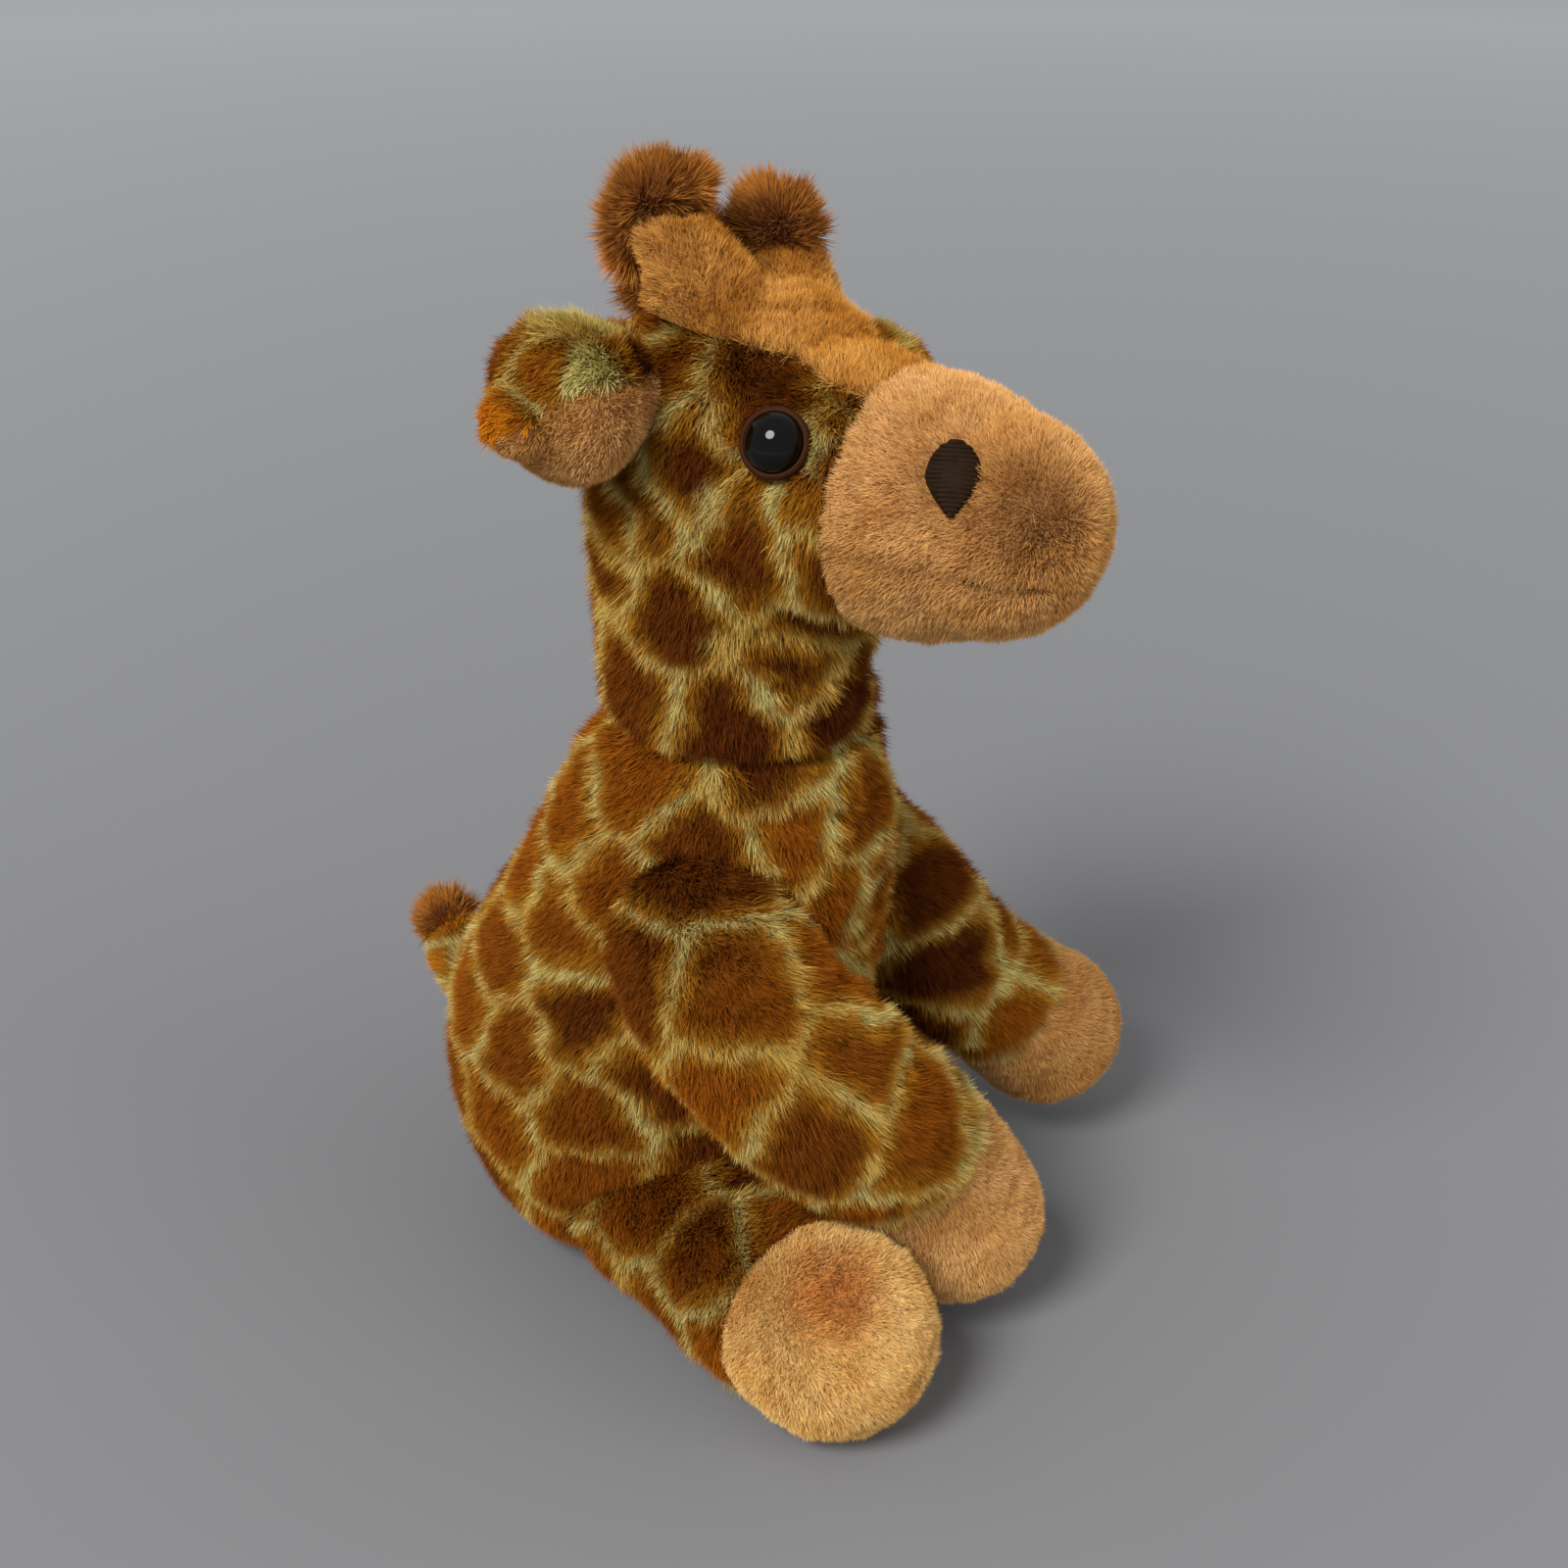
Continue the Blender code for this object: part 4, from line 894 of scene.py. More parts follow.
# %% Plain plush, as pile and as the cloth under it
def plain_materials(name, light, dark, shade, mottle=60.0, root_shade=.6, tip_shade=1.08):
    """Pile and cloth of one dyed plush: light and dark mottled, with a third colour where tone is high,
    mostly painted shade.
    """
    made = []
    for is_pile in (True, False):
        material, tree, shader = new_material(name + (" pile" if is_pile else " cloth"), .85, .05)
        place = attribute(tree, "root", "Vector") if is_pile else object_place(tree)
        cloud = noise(tree, place, mottle, 3.0)
        colour = blend_colour(tree, ranged(tree, cloud, .35, .65), light, dark)
        colour = blend_colour(tree, attribute(tree, "tone"), colour, shade)
        if is_pile:
            strand_colour(tree, shader, colour, root_shade, tip_shade)
        else:
            cloth_colour(tree, shader, colour, place, .6, .0003)
        made.append(material)
    return made


PATCH_PILE, PATCH_CLOTH = patch_materials()
GOLD = plain_materials("golden plush", written(240, 180, 90), written(212, 142, 52), written(120, 66, 20))
TAN = plain_materials("tan velour", written(240, 190, 120), written(228, 172, 98), written(172, 108, 36),
                      90.0, .8, 1.1)
PALE = plain_materials("pale velour", written(252, 213, 138), written(246, 198, 114), written(226, 142, 52),
                       90.0, .8, 1.1)
TUFT = plain_materials("tuft plush", written(188, 122, 48), written(148, 90, 32), written(226, 140, 46),
                       160.0, .9, 1.15)
print("materials:", len(bpy.data.materials))

# %% [markdown]
# Eyes and nostrils sit on the cloth, so their places are found by shooting a ray from inside the head and
# taking where it leaves the bag. The eyes also turn forward a little from the cloth that they sit on.

# %% Places of the eyes and nostrils
def face_hit(bag, inside, aim, grow=0.0):
    points, faces = bag_mesh(bag, grow, sides=96)
    way = (Vector(aim) - Vector(inside)).normalized()
    return BVHTree.FromPolygons(points, faces).ray_cast(Vector(inside), way)[0], way


EYE_AIMS = {"right": (-.0281, -.0664, .2177), "left": (.0277, -.0664, .2129)}
NOSTRIL_AIMS = {"right": (-.0216, -.1050, .2179), "left": (.0212, -.1050, .2141)}
eyes = {}
for side, aim in EYE_AIMS.items():
    point, way = face_hit("face", (-.0010, -.0650, .2060), aim)
    eyes[side] = (point, (way + Vector((0, -.38, .06))).normalized())
nostrils = {side: face_hit("muzzle", (-.0013, -.0891, .2029), aim) for side, aim in NOSTRIL_AIMS.items()}
print("eye and nostril places found")

# %% [markdown]
# Some places are coloured apart from the print. Shade is painted in along the jaw's fold and over the jaw,
# over the ears' linings, on the far hoof, on the near hoof under its cuff and in the sole's dimple. The
# muzzle darkens towards its tip and on its far side, pale lines run round the cuffs, and the pile is brushed
# short round the eyes, the nostrils and the mouth. Such places are painted into the attributes as soft masks
# round a line or a point.

# %% Shaded and pale places
def change(piece, name, update):
    """Changes a float attribute by a function of the points and the old values."""
    mesh = piece.data
    values = np.empty(len(mesh.vertices))
    mesh.attributes[name].data.foreach_get("value", values)
    values = update(read(mesh.vertices, "co", 3), values)
    mesh.attributes[name].data.foreach_set("value", values)


def band(line, inner, outer, amount=1.0):
    """Raises a value to an amount along a line: in full inside one reach, not at all past the other."""
    return lambda points, old: np.maximum(old, amount * (1 - smooth_step(
        inner, outer, reach_to_line(points, line))))


def near(place, inner, outer, amount=1.0):
    return band((place, place), inner, outer, amount)


def cropped(line, inner, outer, least):
    """Shortens the pile along a line, to the least share of its length inside the inner reach."""
    return lambda points, old: old * (least + (1 - least) * smooth_step(
        inner, outer, reach_to_line(points, line)))


def shifted(amount):
    return lambda points, old: old + amount


JAW_LINE = [(-.0274, -.0700, .1993), (-.0274, -.0812, .1988), (-.0254, -.0930, .1980),
            (-.0190, -.1104, .1972), (-.0100, -.1190, .1962)]
JAW_SHADE = .28
CUFF_WIDTHS = {"right": .0062, "left": .003}
# Painted shadow along the jaw's fold, on muzzle and jaw, where the pile is also cropped short.
for piece in (muzzle, jaw):
    change(piece, "tone", band(JAW_LINE, .0004, .0050, .45))
    change(piece, "pile", cropped(JAW_LINE, .0004, .0022, .45))
# Painted shade over the whole jaw.
change(jaw, "tone", lambda points, old: np.maximum(old, JAW_SHADE))
change(muzzle, "tone", near((-.0122, -.1171, .2090), .001, .021, .6))
change(muzzle, "tone", near((.0150, -.1120, .1990), .004, .020, .4))
# Painted shade in the sole's dimple.
change(limbs["right"]["foot"], "tone", near(SOLE + Vector((.001, .002, .001)), .003, .014, .8))
for place in ((-.0290, -.0530, .2060), (-.0266, -.0522, .1751), (-.0262, -.0325, .2310)):
    change(head, "pale", near(place, .0018, .0046))
change(head, "pale", band([(-.0208, -.0730, .2240), (-.0225, -.0715, .2150)], .0018, .0038))
for place in ((-.0455, -.0432, .1037), (-.0342, -.0795, .0942)):
    change(limbs["right"]["sleeve"], "pale", near(place, .0022, .0052))
# Painted shadow on the near hoof just below its cuff.
change(limbs["right"]["hoof"], "tone", near(LIMBS["right"]["cuff"], .010, .028, .6))
# Painted shade over the whole far hoof, which lies away from the lamp.
change(limbs["left"]["hoof"], "tone", shifted(.35))
# Painted shade over both ear linings.
for back, lining in ears.values():
    change(lining, "tone", shifted(.25))
for side, limb in LIMBS.items():
    sleeve = limbs[side]["sleeve"]
    cuff = np.array(limb["cuff"])
    cuff_way = np.array(limb["cuff_way"])
    width = CUFF_WIDTHS[side]
    change(sleeve, "pale", lambda points, old: 1 - smooth_step(
        width * .5, width, -(points - cuff) @ cuff_way))
CHEST_LINE = [(.022, -.052, .128), (.0125, -.0605, .1126), (.0004, -.0625, .1039)]
change(torso, "pale", band(CHEST_LINE, .0008, .0022))
for side in ("right", "left"):
    eye_place = eyes[side][0]
    for piece in (head, forehead):
        change(piece, "pile", cropped((eye_place, eye_place), .0064, .0100, .15))
    nostril_place = nostrils[side][0]
    change(muzzle, "pile", cropped((nostril_place, nostril_place), .0030, .0062, .1))
change(horns["right"][1], "tone", near((-.0155, -.0153, .2455), .0010, .0036, .9))
print("shaded and pale places painted")

# %% [markdown]
# The pile is grown by Geometry Nodes: points scattered over the outer faces, a thin tapering blade on each,
# tipped from the cloth's normal towards the comb. A slow noise tips neighbours together, so the pile gathers
# into the small locks that brushed plush shows. Each blade keeps its root's place, so that the patches are
# printed strand by strand and not smeared along them.

# %% The pile tree
PILE_INPUTS = (
    ("Blades per area", "NodeSocketFloat", 1e7), ("Length", "NodeSocketFloat", .004),
    ("Width", "NodeSocketFloat", .0003), ("Lean", "NodeSocketFloat", .5), ("Spread", "NodeSocketFloat", .3),
    ("Clump", "NodeSocketFloat", .6), ("Clump scale", "NodeSocketFloat", 220.0), ("Seed", "NodeSocketInt", 1),
    ("Unevenness", "NodeSocketFloat", .3), ("Gather", "NodeSocketFloat", 0.0),
    ("Softness", "NodeSocketFloat", .7), ("Blade", "NodeSocketObject", None),
    ("Material", "NodeSocketMaterial", None),
)


def stored(tree, name, kind):
    """What the named attribute holds, inside a Geometry Nodes tree."""
    return node(tree, "GeometryNodeInputNamedAttribute", {"data_type": kind}, Name=name).outputs[0]


def input_names(group):
    """The identifier of each input of a group, by its name."""
    return {item.name: item.identifier for item in group.interface.items_tree
            if item.item_type == "SOCKET" and item.in_out == "INPUT"}


def pile_tree():
    tree = bpy.data.node_groups.new("grow pile", "GeometryNodeTree")
    sockets(tree, (("Geometry", "NodeSocketGeometry", None),) + PILE_INPUTS,
            (("Geometry", "NodeSocketGeometry"),))
    start, end = tree.nodes.new("NodeGroupInput"), tree.nodes.new("NodeGroupOutput")
    given = {socket.name: socket for socket in start.outputs}

    def chance(low, high, shift):
        return node(tree, "FunctionNodeRandomValue", {"data_type": "FLOAT"}, Min=low, Max=high,
                    Seed=math_node(tree, "ADD", given["Seed"], shift)).outputs[1]

    def vector(operation, *values, **named_values):
        inputs = {"_%d" % index: value for index, value in enumerate(values)}
        made = node(tree, "ShaderNodeVectorMath", {"operation": operation}, **inputs, **named_values)
        return made.outputs[0]

    outside = node(tree, "GeometryNodeDeleteGeometry", {"domain": "FACE"}, Geometry=given["Geometry"],
                   Selection=stored(tree, "inside", "BOOLEAN")).outputs[0]
    scattered = node(tree, "GeometryNodeDistributePointsOnFaces", Mesh=outside,
                     Density=given["Blades per area"], Seed=given["Seed"])
    place = tree.nodes.new("GeometryNodeInputPosition").outputs[0]
    normal = scattered.outputs["Normal"]
    cloud = node(tree, "ShaderNodeTexNoise", Vector=place, Scale=given["Clump scale"], Detail=1.0)
    lock = vector("SUBTRACT", cloud.outputs["Color"], (.5, .5, .5))
    lock = vector("SCALE", lock, Scale=given["Clump"])
    middle = node(tree, "ShaderNodeTexVoronoi", Vector=place, Scale=given["Clump scale"]).outputs["Position"]
    pull = vector("SUBTRACT", middle, place)
    upright = node(tree, "ShaderNodeVectorMath", {"operation": "DOT_PRODUCT"}, _0=pull, _1=normal)
    pull = vector("SUBTRACT", pull, vector("SCALE", normal, Scale=upright.outputs["Value"]))
    pull = vector("SCALE", pull, Scale=math_node(tree, "DIVIDE", given["Gather"], given["Length"]))
    lock = vector("ADD", lock, pull)
    stray = node(tree, "FunctionNodeRandomValue", {"data_type": "FLOAT_VECTOR"}, _0=(-.5, -.5, -.5),
                 _1=(.5, .5, .5), Seed=given["Seed"]).outputs[0]
    stray = vector("SCALE", stray, Scale=given["Spread"])
    rise = vector("SCALE", normal, Scale=math_node(tree, "SUBTRACT", 1.0, given["Lean"]))
    flow = vector("SCALE", stored(tree, "comb", "FLOAT_VECTOR"), Scale=given["Lean"])
    way = vector("ADD", vector("ADD", rise, flow), vector("ADD", lock, stray))
    stand = node(tree, "FunctionNodeAlignRotationToVector", {"axis": "Z"}, Vector=way).outputs[0]
    about = node(tree, "FunctionNodeAxisAngleToRotation", Axis=(0, 0, 1),
                 Angle=chance(0.0, 6.283, 7.0)).outputs[0]
    stand = node(tree, "FunctionNodeRotateRotation", {"rotation_space": "LOCAL"}, Rotation=stand,
                 Rotate_By=about).outputs[0]
    swell = math_node(tree, "MULTIPLY", math_node(tree, "SUBTRACT", cloud.outputs["Fac"], .5), 4.0)
    swell = math_node(tree, "MULTIPLY_ADD", swell, given["Unevenness"], 1.0)
    length = math_node(tree, "MULTIPLY", chance(.7, 1.2, 13.0), swell)
    length = math_node(tree, "MULTIPLY", given["Length"], length)
    length = math_node(tree, "MULTIPLY", length, stored(tree, "pile", "FLOAT"))
    size = node(tree, "ShaderNodeCombineXYZ", X=given["Width"], Y=given["Width"], Z=length).outputs[0]
    blade = node(tree, "GeometryNodeObjectInfo", Object=given["Blade"]).outputs["Geometry"]
    placed = node(tree, "GeometryNodeInstanceOnPoints", Points=scattered.outputs["Points"], Instance=blade,
                  Rotation=stand, Scale=size).outputs[0]
    for name, kind, value in (("root", "FLOAT_VECTOR", place), ("strand", "FLOAT", chance(0.0, 1.0, 23.0)),
                              ("soft_way", "FLOAT_VECTOR", normal)):
        placed = node(tree, "GeometryNodeStoreNamedAttribute", {"data_type": kind, "domain": "INSTANCE"},
                      Geometry=placed, Name=name, Value=value).outputs[0]
    grown = node(tree, "GeometryNodeRealizeInstances", Geometry=placed).outputs[0]
    own = tree.nodes.new("GeometryNodeInputNormal").outputs[0]
    facing = vector("SCALE", own, Scale=math_node(tree, "SUBTRACT", 1.0, given["Softness"]))
    soft = vector("SCALE", stored(tree, "soft_way", "FLOAT_VECTOR"), Scale=given["Softness"])
    soft = vector("NORMALIZE", vector("ADD", facing, soft))
    grown = node(tree, "GeometryNodeSetMeshNormal", {"mode": "FREE", "domain": "POINT"}, Mesh=grown,
                 Custom_Normal=soft).outputs[0]
    for name in ("soft_way", "comb", "inside"):
        grown = node(tree, "GeometryNodeRemoveAttribute", Geometry=grown, Name=name).outputs[0]
    grown = node(tree, "GeometryNodeSetMaterial", Geometry=grown, Material=given["Material"]).outputs[0]
    feed(tree, end.inputs[0], grown)
    return tree


def blade_shape():
    mesh = bpy.data.meshes.new("blade")
    mesh.from_pydata([(-.5, 0, 0), (.5, 0, 0), (0, 0, 1)], [], [(0, 1, 2)])
    write_attribute(mesh, "along", "FLOAT", "POINT", np.array((0.0, 0.0, 1.0)))
    return link("blade", mesh)


PILE_TREE = pile_tree()
PILE_SOCKETS = input_names(PILE_TREE)
BLADE = blade_shape()
print("pile tree:", len(PILE_TREE.nodes), "nodes")

# %% Growing a layer of pile, and sewing a cloth on
LOWEST_TIP = .0002


def print_patches(mesh, places, seeds, repeat=1):
    """Writes the print of each place to the mesh, once for each point that shares the place."""
    rims, tones = patch_values(places, seeds)
    for name, values in (("rim", rims), ("print", tones)):
        old = mesh.attributes.get(name)
        if old:
            mesh.attributes.remove(old)
        write_attribute(mesh, name, "FLOAT", "POINT", np.repeat(values, repeat))


def grow_pile(cloth, name, body, slot, seed, seeds=None, **values):
    """Grows one layer of pile on a cloth and leaves it as a plain mesh of its own."""
    layer = cloth.copy()
    bpy.context.scene.collection.objects.link(layer)
    step = layer.modifiers.new("pile", "NODES")
    step.node_group = PILE_TREE
    step[PILE_SOCKETS["Blade"]] = BLADE
    step[PILE_SOCKETS["Seed"]] = seed
    for key, value in values.items():
        step[PILE_SOCKETS[key.replace("_", " ")]] = value
    mesh = evaluated_mesh(layer)
    bpy.data.objects.remove(layer, do_unlink=True)
    mesh.name = name
    points = read(mesh.vertices, "co", 3)
    points[:, 2] = np.maximum(points[:, 2], LOWEST_TIP)
    mesh.vertices.foreach_set("co", points.ravel())
    if seeds is not None:
        print_patches(mesh, read(mesh.attributes["root"].data, "vector", 3)[::3], seeds, 3)
    made = link(name, mesh)
    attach(made, body)
    print(name, len(mesh.polygons), "blades")


def sew(cloth, body, material, nodes):
    """Gives a cloth its material, hands it to its body and hides the solids that it stands for."""
    cloth.data.materials.clear()
    cloth.data.materials.append(material)
    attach(cloth, body)
    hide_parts(*nodes)

# %% [markdown]
# The patterned plush covers torso, head, limbs, ears and tail. Its pile is thick, so the torso takes three
# layers and the head two, each with a seed of its own, which keeps every piece under 200,000 triangles.

# %% Patterned plush on torso, head, limbs, ears and tail
BODY_PILE = {"Length": .0048, "Width": .00034, "Lean": .52, "Spread": .5, "Clump": .9, "Clump_scale": 210.0,
             "Unevenness": .35, "Material": PATCH_PILE}


def dress_patched(cloth, bag, body, nodes, fill, layers, blades, spacing, **values):
    """Prints a cloth with patches, sews it to its body and grows its pile in layers."""
    seeds = fill_seeds(cloth, SEEDS[bag], spacing)
    print_patches(cloth.data, read(cloth.data.vertices, "co", 3), seeds)
    sew(cloth, body, PATCH_CLOTH, nodes)
    for layer in range(layers):
        name = cloth.name.replace("cloth", "pile") + "_%d" % layer
        grow_pile(cloth, name, body, "patch_plush", 11 + layer, seeds, Blades_per_area=blades,
                  **{**BODY_PILE, **values})


dress_patched(torso, "torso", "torso", ("body_skin", "body_fibrefill", "seat_bean_bag"), .7, 3, 4.6e6, .0225)
dress_patched(head, "head", "head", ("neck_skin", "head_skin", "head_fibrefill"), .8, 2, 6.8e6, .0200)
for side, parts in limbs.items():
    dress_patched(parts["sleeve"], "arm_" + side, "arm_" + side, ("arm_sleeve_" + side, "arm_fill_" + side),
                  .7, 1, 1.3e7, .0220)
    dress_patched(parts["leg"], "leg_" + side, "leg_" + side, ("leg_skin_" + side, "leg_pellets_" + side),
                  .6, 1, 1.3e7, .0210)
for side, (back, lining) in ears.items():
    dress_patched(back, "ear_" + side, "ear_" + side, ("ear_back_" + side,), .4, 1, 1.3e7, .013, Length=.0036)
dress_patched(tail, "tail", "tail", ("tail_stalk",), .6, 1, 1.3e7, .015, Length=.0038)

# %% [markdown]
# The forehead and horns are of golden plush with a shorter pile, and muzzle, ear linings, hooves and feet of
# velour, whose pile is shorter still and stands close.

# %% Golden plush and velour
SHORT_PILE = {"Length": .0030, "Width": .00028, "Lean": .45, "Spread": .7, "Clump": 1.3, "Clump_scale": 330.0}
VELOUR = {"Length": .0022, "Width": .00028, "Lean": .38, "Spread": .6, "Clump": .8, "Clump_scale": 260.0}


def dress_plain(cloth, body, slot, materials, solid, fill, seed, blades, **values):
    """Sews a cloth of one dye to its body and grows its pile in one layer."""
    pile, ground = materials
    sew(cloth, body, ground, (solid,))
    name = cloth.name.replace("cloth", "pile").replace("core", "pile")
    grow_pile(cloth, name, body, slot, seed, Blades_per_area=blades, Material=pile, **values)


dress_plain(forehead, "head", "gold_plush", GOLD, "forehead_panel", .8, 71, 1.6e7, **SHORT_PILE)
dress_plain(muzzle, "head", "tan_velour", TAN, "muzzle", .9, 72, 1.7e7, **VELOUR)
dress_plain(jaw, "head", "tan_velour", TAN, "lower_jaw", .9, 73, 1.7e7, **VELOUR)
for side, parts in limbs.items():
    dress_plain(parts["hoof"], "arm_" + side, "tan_velour", TAN, "arm_hoof_" + side, .7, 74, 1.6e7,
                **VELOUR)
    dress_plain(parts["foot"], "leg_" + side, "pale_velour", PALE, "leg_foot_" + side, .7, 75, 1.6e7,
                **VELOUR)
for side, (back, lining) in ears.items():
    dress_plain(lining, "ear_" + side, "tan_velour", TAN, "ear_lining_" + side, .2, 76, 1.4e7,
                **{**VELOUR, "Length": .0017})

# %% [markdown]
# The horns' tufts, the mane and the tail's end are long pile that gathers in locks, so its blades are wider
# and are pulled together round the middles of cells.

# %% Horns, tufts, mane and tail tuft
LONG_PILE = {"Length": .0066, "Width": .0005, "Lean": .15, "Spread": .5, "Clump": 1.1, "Clump_scale": 230.0,
             "Unevenness": .5, "Gather": .4}
TUFT_LENGTHS = {"right": .0054, "left": .0062}
for side, (stalk, tuft) in horns.items():
    dress_plain(stalk, "head", "gold_plush", GOLD, "horn_stalk_" + side, .8, 81, 1.4e7, **SHORT_PILE)
    dress_plain(tuft, "head", "tuft_pile", TUFT, "horn_tuft_" + side, .5, 82, 2.0e7,
                **{**LONG_PILE, "Length": TUFT_LENGTHS[side]})
dress_plain(mane, "head", "tuft_pile", TUFT, "mane", .5, 83, 2.0e7, **LONG_PILE)
dress_plain(tail_tuft, "tail", "tuft_pile", TUFT, "tail_tuft", .5, 84, 1.8e7, **LONG_PILE)
bpy.data.objects.remove(BLADE, do_unlink=True)

# %% [markdown]
# The eyes are domed buttons on stems, each held by a washer behind the cloth and framed by a brown ring. A
# lathe profile turned round the eye's own axis gives the dome, its rim and its stem in one piece, and a
# profile that closes on itself gives the ring.

# %% Turned shapes
TURN_STEPS = 64


def ring_lathe(name, profile, point, way):
    """A turned ring: the profile's (radius, height) points go round in a loop."""
    points = []
    faces = []
    for step in range(TURN_STEPS):
        turn = 2 * math.pi * step / TURN_STEPS
        after = (step + 1) % TURN_STEPS
        for row, (radius, height) in enumerate(profile):
            points.append((radius * math.cos(turn), radius * math.sin(turn), height))
            low = (row + 1) % len(profile)
            faces.append((step * len(profile) + row, step * len(profile) + low, after * len(profile) + low,
                          after * len(profile) + row))
    made = smooth_piece(name, points, faces)
    made.data.transform(standing(point, way))
    return made


def lathe(name, profile, point, way):
    """A turned shape: profile points are (radius, height), and its ends lie on the axis."""
    steps = TURN_STEPS
    turns = [2 * math.pi * step / steps for step in range(steps)]
    points = [(0, 0, profile[0][1])]
    faces = []
    for radius, height in profile[1:-1]:
        points += [(radius * math.cos(turn), radius * math.sin(turn), height) for turn in turns]
    points.append((0, 0, profile[-1][1]))
    for step in range(steps):
        after = (step + 1) % steps
        faces.append((0, 1 + step, 1 + after))
        for ring in range(len(profile) - 3):
            low = 1 + ring * steps
            faces.append((low + step, low + steps + step, low + steps + after, low + after))
        faces.append((len(points) - 1, len(points) - 1 - steps + after, len(points) - 1 - steps + step))
    made = smooth_piece(name, points, faces)
    made.data.transform(standing(point, way))
    return made

# %% Hard finishes
def hard_material(name, roughness, grain, first, second, dull=None):
    """A smooth finish with a fine haze in its colour, and in its gloss where a range is given."""
    made, tree, shader = new_material(name, roughness)
    haze = noise(tree, object_place(tree), grain)
    feed(tree, shader.inputs["Base Color"], blend_colour(tree, haze, first, second))
    if dull:
        feed(tree, shader.inputs["Roughness"], ranged(tree, haze, *dull))
    return made


EYE_BLACK = hard_material("black button", .06, 900.0, written(5, 4, 4), written(12, 8, 6), (.3, .8, .05, .09))
EYE_BLACK.node_tree.nodes["Principled BSDF"].inputs["Specular IOR Level"].default_value = .22
EYE_RING = hard_material("brown eye ring", .5, 700.0, written(46, 24, 12), written(70, 38, 18),
                         (.3, .7, .45, .6))
WASHER = hard_material("washer plastic", .4, 400.0, written(226, 224, 216), written(206, 204, 196),
                       (.3, .7, .35, .5))
THREAD = hard_material("nostril thread", .6, 500.0, written(24, 15, 8), written(50, 34, 20))
print("materials:", len(bpy.data.materials))

# %% Eyes
EYE_RADIUS = .0058
DOME_HEIGHT = .0042
DOME = [(EYE_RADIUS * math.sin(angle), .0009 + DOME_HEIGHT * math.cos(angle))
        for angle in np.linspace(0, math.pi / 2, 14)]
BUTTON = DOME + [(EYE_RADIUS, .0004), (.0056, 0), (.0018, 0), (.0018, -.0095), (0, -.0095)]
RING = [(EYE_RADIUS, -.0012), (.0068, -.0012), (.0070, .0002), (.0068, .0009), (.0062, .0013),
        (EYE_RADIUS, .0011)]
EYE_LIFT = .0003
for side, (point, way) in eyes.items():
    eye = lathe("eye_button_" + side, BUTTON, point + way * EYE_LIFT, way)
    eye.data.materials.append(EYE_BLACK)
    ring = ring_lathe("eye_ring_" + side, RING, point + way * EYE_LIFT, way)
    ring.data.materials.append(EYE_RING)
    for piece in (eye, ring):
        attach(piece, "head")
    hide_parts("eye_" + side)
print("eyes at", [[round(value, 4) for value in point] for point, way in eyes.values()])

# %% Washers stay as the solids they are
for side in ("right", "left"):
    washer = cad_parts["eye_washer_" + side]
    washer.data.materials.clear()
    washer.data.materials.append(WASHER)

# %% [markdown]
# A nostril is a teardrop of satin stitches in dark thread. A low ball squeezed to a teardrop pads it from
# below, and Geometry Nodes lay one stitch on every row of points over it, each as long as the drop is wide
# there.

# %% Nostrils
DROP_HALF = (.0052, .0071, .0017)
NOSTRIL_SINK = {"right": 0, "left": .0008}


def narrowed(up):
    """The share of its width that the teardrop has at a height from -1, its point, to 1."""
    return 1 - .62 * np.maximum(0, -up) ** 1.2


def upright_on(way):
    """The way up the cloth, as seen by who looks along the toy's own axis."""
    deep = HEAD_TURN @ Vector((0, 0, 1))
    deep -= way * way.dot(deep)
    deep.normalize()
    return deep


def teardrop(name, point, way):
    deep = upright_on(way)
    drop = bmesh.new()
    bmesh.ops.create_uvsphere(drop, u_segments=32, v_segments=16, radius=1)
    for vert in drop.verts:
        half = (DROP_HALF[0] * narrowed(vert.co.y), DROP_HALF[1], DROP_HALF[2])
        vert.co = Vector([value * size for value, size in zip(vert.co, half)])
    made = from_bmesh(name, drop)
    made.data.shade_smooth()
    turn = Matrix((deep.cross(way), deep, way)).transposed().to_4x4()
    made.data.transform(Matrix.Translation(point) @ turn)
    return made


def thread_shape():
    """One stitch along X, arched and closed at its ends, a metre long and thick before it is scaled."""
    points = []
    faces = []
    rings, sides = 9, 8
    for ring in range(rings):
        along = ring / (rings - 1) - .5
        thick = .5 * math.sqrt(max(0, 1 - (2 * along) ** 4)) + .02
        for side in range(sides):
            turn = 2 * math.pi * side / sides
            points.append((along, thick * math.cos(turn), thick * math.sin(turn) + 1.4 * (.25 - along ** 2)))
    for ring in range(rings - 1):
        for side in range(sides):
            after = (side + 1) % sides
            low = ring * sides
            faces.append((low + side, low + after, low + sides + after, low + sides + side))
    faces.append(tuple(range(sides - 1, -1, -1)))
    faces.append(tuple(range((rings - 1) * sides, rings * sides)))
    return smooth_piece("stitch", points, faces)


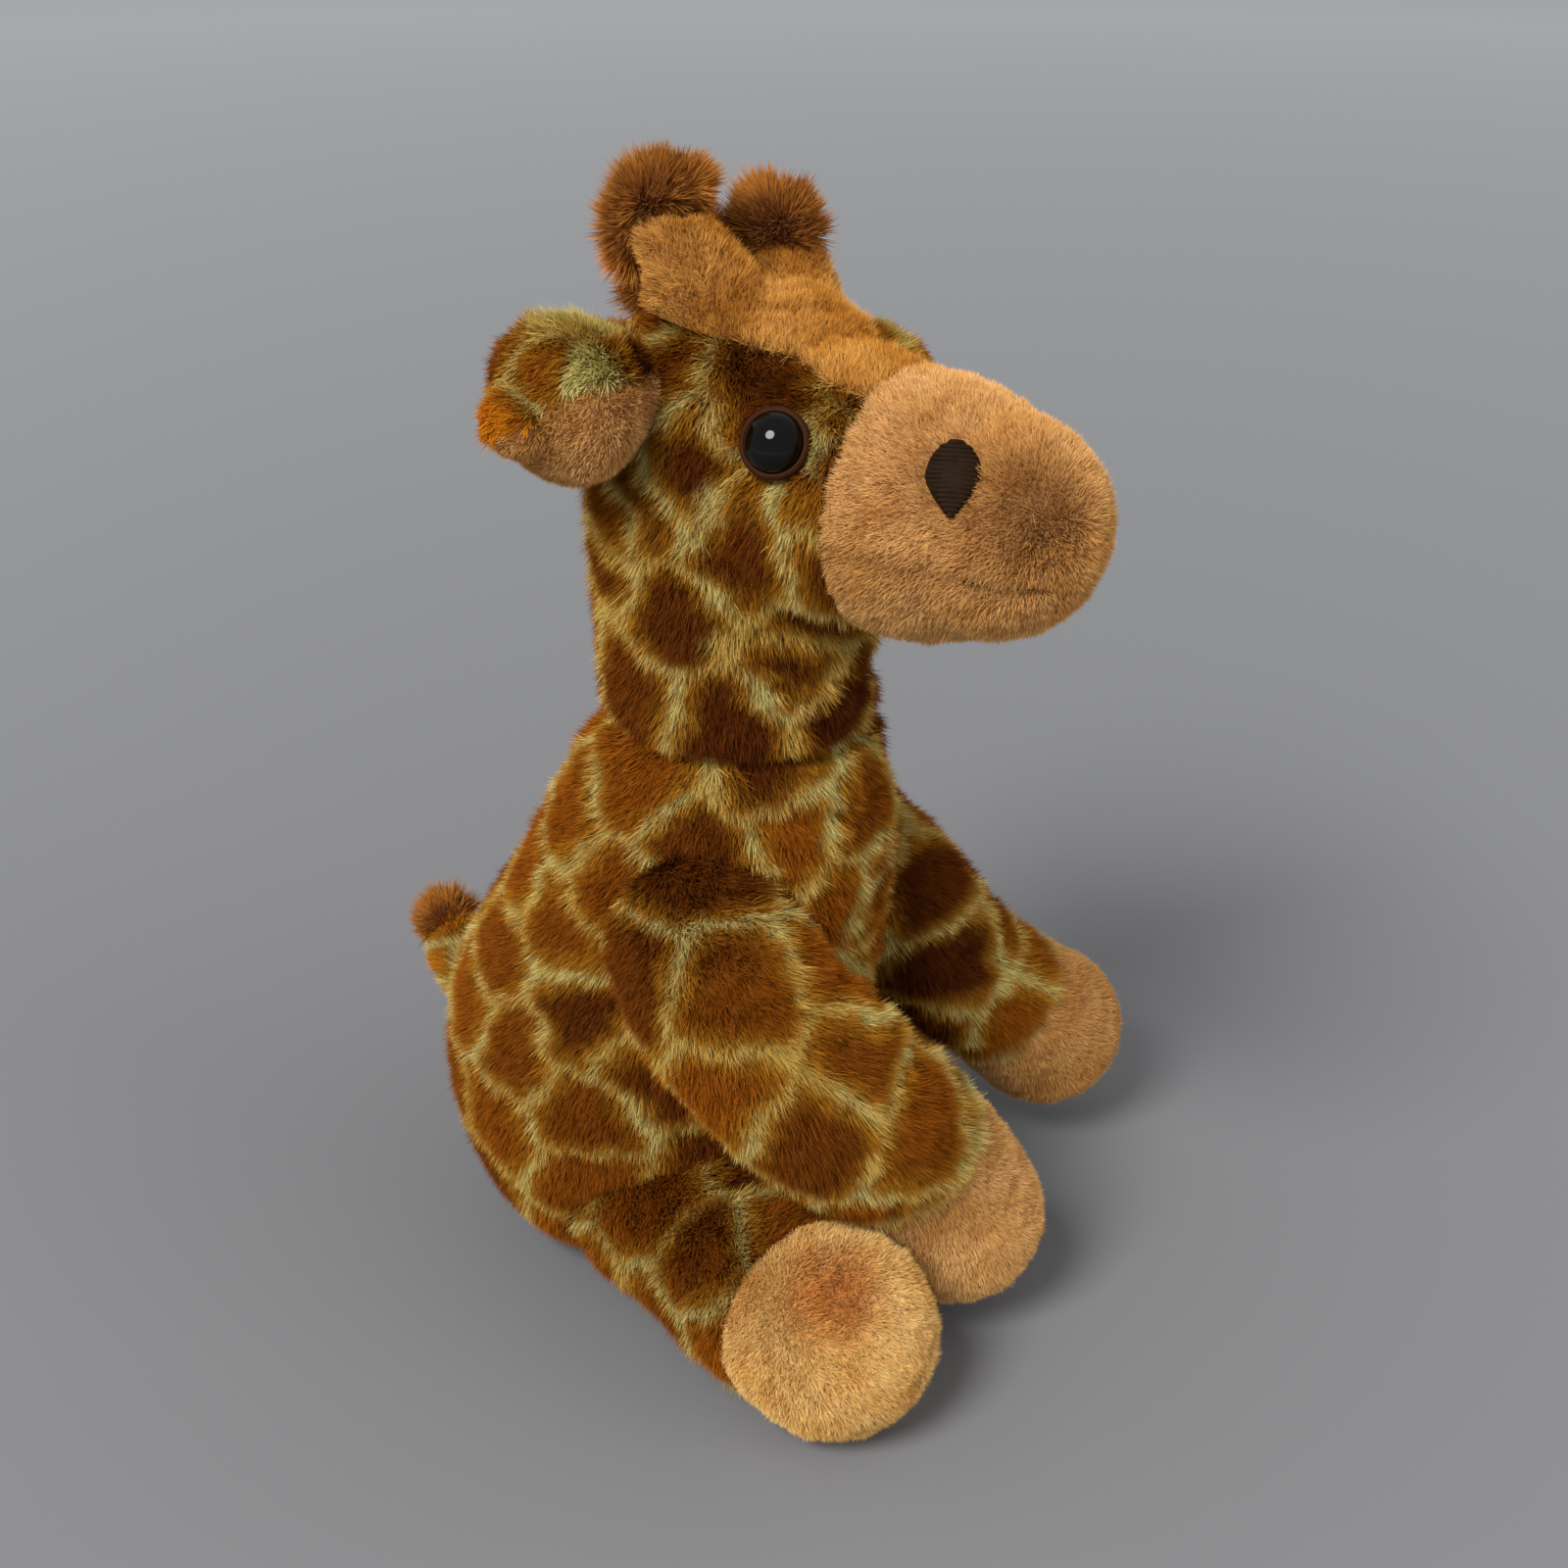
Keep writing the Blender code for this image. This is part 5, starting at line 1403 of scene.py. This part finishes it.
def stitch_tree():
    """Lays a stitch on every point, along its "across", with its back to its "out"."""
    tree = bpy.data.node_groups.new("lay stitches", "GeometryNodeTree")
    sockets(tree, (("Geometry", "NodeSocketGeometry", None), ("Stitch", "NodeSocketObject", None),
                   ("Thickness", "NodeSocketFloat", .001), ("Material", "NodeSocketMaterial", None)),
            (("Geometry", "NodeSocketGeometry"),))
    start, end = tree.nodes.new("NodeGroupInput"), tree.nodes.new("NodeGroupOutput")
    turn = node(tree, "FunctionNodeAlignRotationToVector", {"axis": "X"},
                Vector=stored(tree, "across", "FLOAT_VECTOR"))
    turn = node(tree, "FunctionNodeAlignRotationToVector", {"axis": "Z", "pivot_axis": "X"},
                Rotation=turn.outputs[0], Vector=stored(tree, "out", "FLOAT_VECTOR")).outputs[0]
    shift = node(tree, "FunctionNodeRandomValue", {"data_type": "FLOAT"}, Min=.9, Max=1.08).outputs[1]
    length = math_node(tree, "MULTIPLY", stored(tree, "span", "FLOAT"), shift)
    size = node(tree, "ShaderNodeCombineXYZ", X=length, Y=start.outputs["Thickness"],
                Z=start.outputs["Thickness"]).outputs[0]
    points = node(tree, "GeometryNodeMeshToPoints", Mesh=start.outputs["Geometry"]).outputs[0]
    stitch = node(tree, "GeometryNodeObjectInfo", Object=start.outputs["Stitch"]).outputs["Geometry"]
    laid = node(tree, "GeometryNodeInstanceOnPoints", Points=points, Instance=stitch, Rotation=turn,
                Scale=size).outputs[0]
    laid = node(tree, "GeometryNodeRealizeInstances", Geometry=laid).outputs[0]
    laid = node(tree, "GeometryNodeSetMaterial", Geometry=laid, Material=start.outputs["Material"]).outputs[0]
    feed(tree, end.inputs[0], laid)
    return tree


STITCHES = stitch_tree()
STITCH_SOCKETS = input_names(STITCHES)
STITCH = thread_shape()
STITCH_THICKNESS = .0011
STITCH_BULGE = .0007
STITCH_ROWS = np.linspace(-.0066, .0067, 17)


def satin(name, point, way):
    """Satin stitches side by side over a teardrop."""
    deep = upright_on(way)
    mesh = bpy.data.meshes.new(name + " rows")
    share = STITCH_ROWS / DROP_HALF[1]
    level = np.sqrt(1 - share ** 2)
    places = [point + deep * row + way * (STITCH_BULGE * rise) for row, rise in zip(STITCH_ROWS, level)]
    mesh.from_pydata([tuple(place) for place in places], [], [])
    for field, value in (("across", deep.cross(way)), ("out", way)):
        write_attribute(mesh, field, "FLOAT_VECTOR", "POINT", np.tile(np.array(value), (len(places), 1)))
    write_attribute(mesh, "span", "FLOAT", "POINT", 2 * DROP_HALF[0] * level * narrowed(share))
    made = link(name, mesh)
    step = made.modifiers.new("stitches", "NODES")
    step.node_group = STITCHES
    for key, value in (("Stitch", STITCH), ("Thickness", STITCH_THICKNESS), ("Material", THREAD)):
        step[STITCH_SOCKETS[key]] = value
    laid = evaluated_mesh(made)
    made.modifiers.clear()
    made.data = laid
    return made


for side, (point, way) in nostrils.items():
    point = point - way * NOSTRIL_SINK[side]
    nostril = teardrop("nostril_thread_" + side, point + way * .0002, way)
    nostril.data.materials.append(THREAD)
    stitches = satin("nostril_stitches_" + side, point + way * .0003, way)
    for piece in (nostril, stitches):
        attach(piece, "head")
    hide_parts("nostril_" + side)
bpy.data.objects.remove(STITCH, do_unlink=True)
print("stitches on each nostril:", len(STITCH_ROWS))

# %% [markdown]
# The room is a plain floor under soft light. One large lamp stands to the upper left of the camera, a weak
# one lifts the shadows, and the sky fills the rest. Round the toy, where the lamp's full light falls, the
# floor is grey, and further off it is painted paler, as painted light where the lamp reaches less, so that
# it meets the sky without a dark line.

# %% Floor, light and sky
FLOOR_HALF = 8
FLOOR_NEAR = (.215, .215, .220, 1)
FLOOR_FAR = (.66, .67, .685, 1)
PALE_FROM = 3
corners = [(x * FLOOR_HALF, y * FLOOR_HALF, 0) for x, y in ((-1, -1), (1, -1), (1, 1), (-1, 1))]
floor_mesh = bpy.data.meshes.new("floor")
floor_mesh.from_pydata(corners, [], [(0, 1, 2, 3)])
floor = link("floor", floor_mesh)
pale_floor, tree, shader = new_material("pale floor", .9)
away = node(tree, "ShaderNodeVectorMath", {"operation": "LENGTH"}, _0=object_place(tree)).outputs["Value"]
away = ranged(tree, away, 0, PALE_FROM, smooth=False)
feed(tree, shader.inputs["Base Color"], blend_colour(tree, away, FLOOR_NEAR, FLOOR_FAR))
floor.data.materials.append(pale_floor)


def lamp(name, place, size, power):
    made = bpy.data.objects.new(name, bpy.data.lights.new(name, "AREA"))
    made.data.shape = "DISK"
    made.data.size = size
    made.data.energy = power
    made.location = place
    made.rotation_euler = (LOOK_AT - Vector(place)).to_track_quat("-Z", "Y").to_euler()
    bpy.context.scene.collection.objects.link(made)
    return made


lamp("key lamp", (-2.3, -0.4, 2.4), 1.3, 98)
lamp("fill lamp", (0.5, -1.9, 0.9), 1.2, 8).visible_glossy = False
sky = bpy.data.worlds.new("sky")
bpy.context.scene.world = sky
sky.use_nodes = True
background = sky.node_tree.nodes["Background"]
background.inputs["Color"].default_value = (.80, .81, .83, 1)
background.inputs["Strength"].default_value = .56
bpy.context.scene.view_settings.view_transform = "Standard"
print("lamps, floor and sky set")
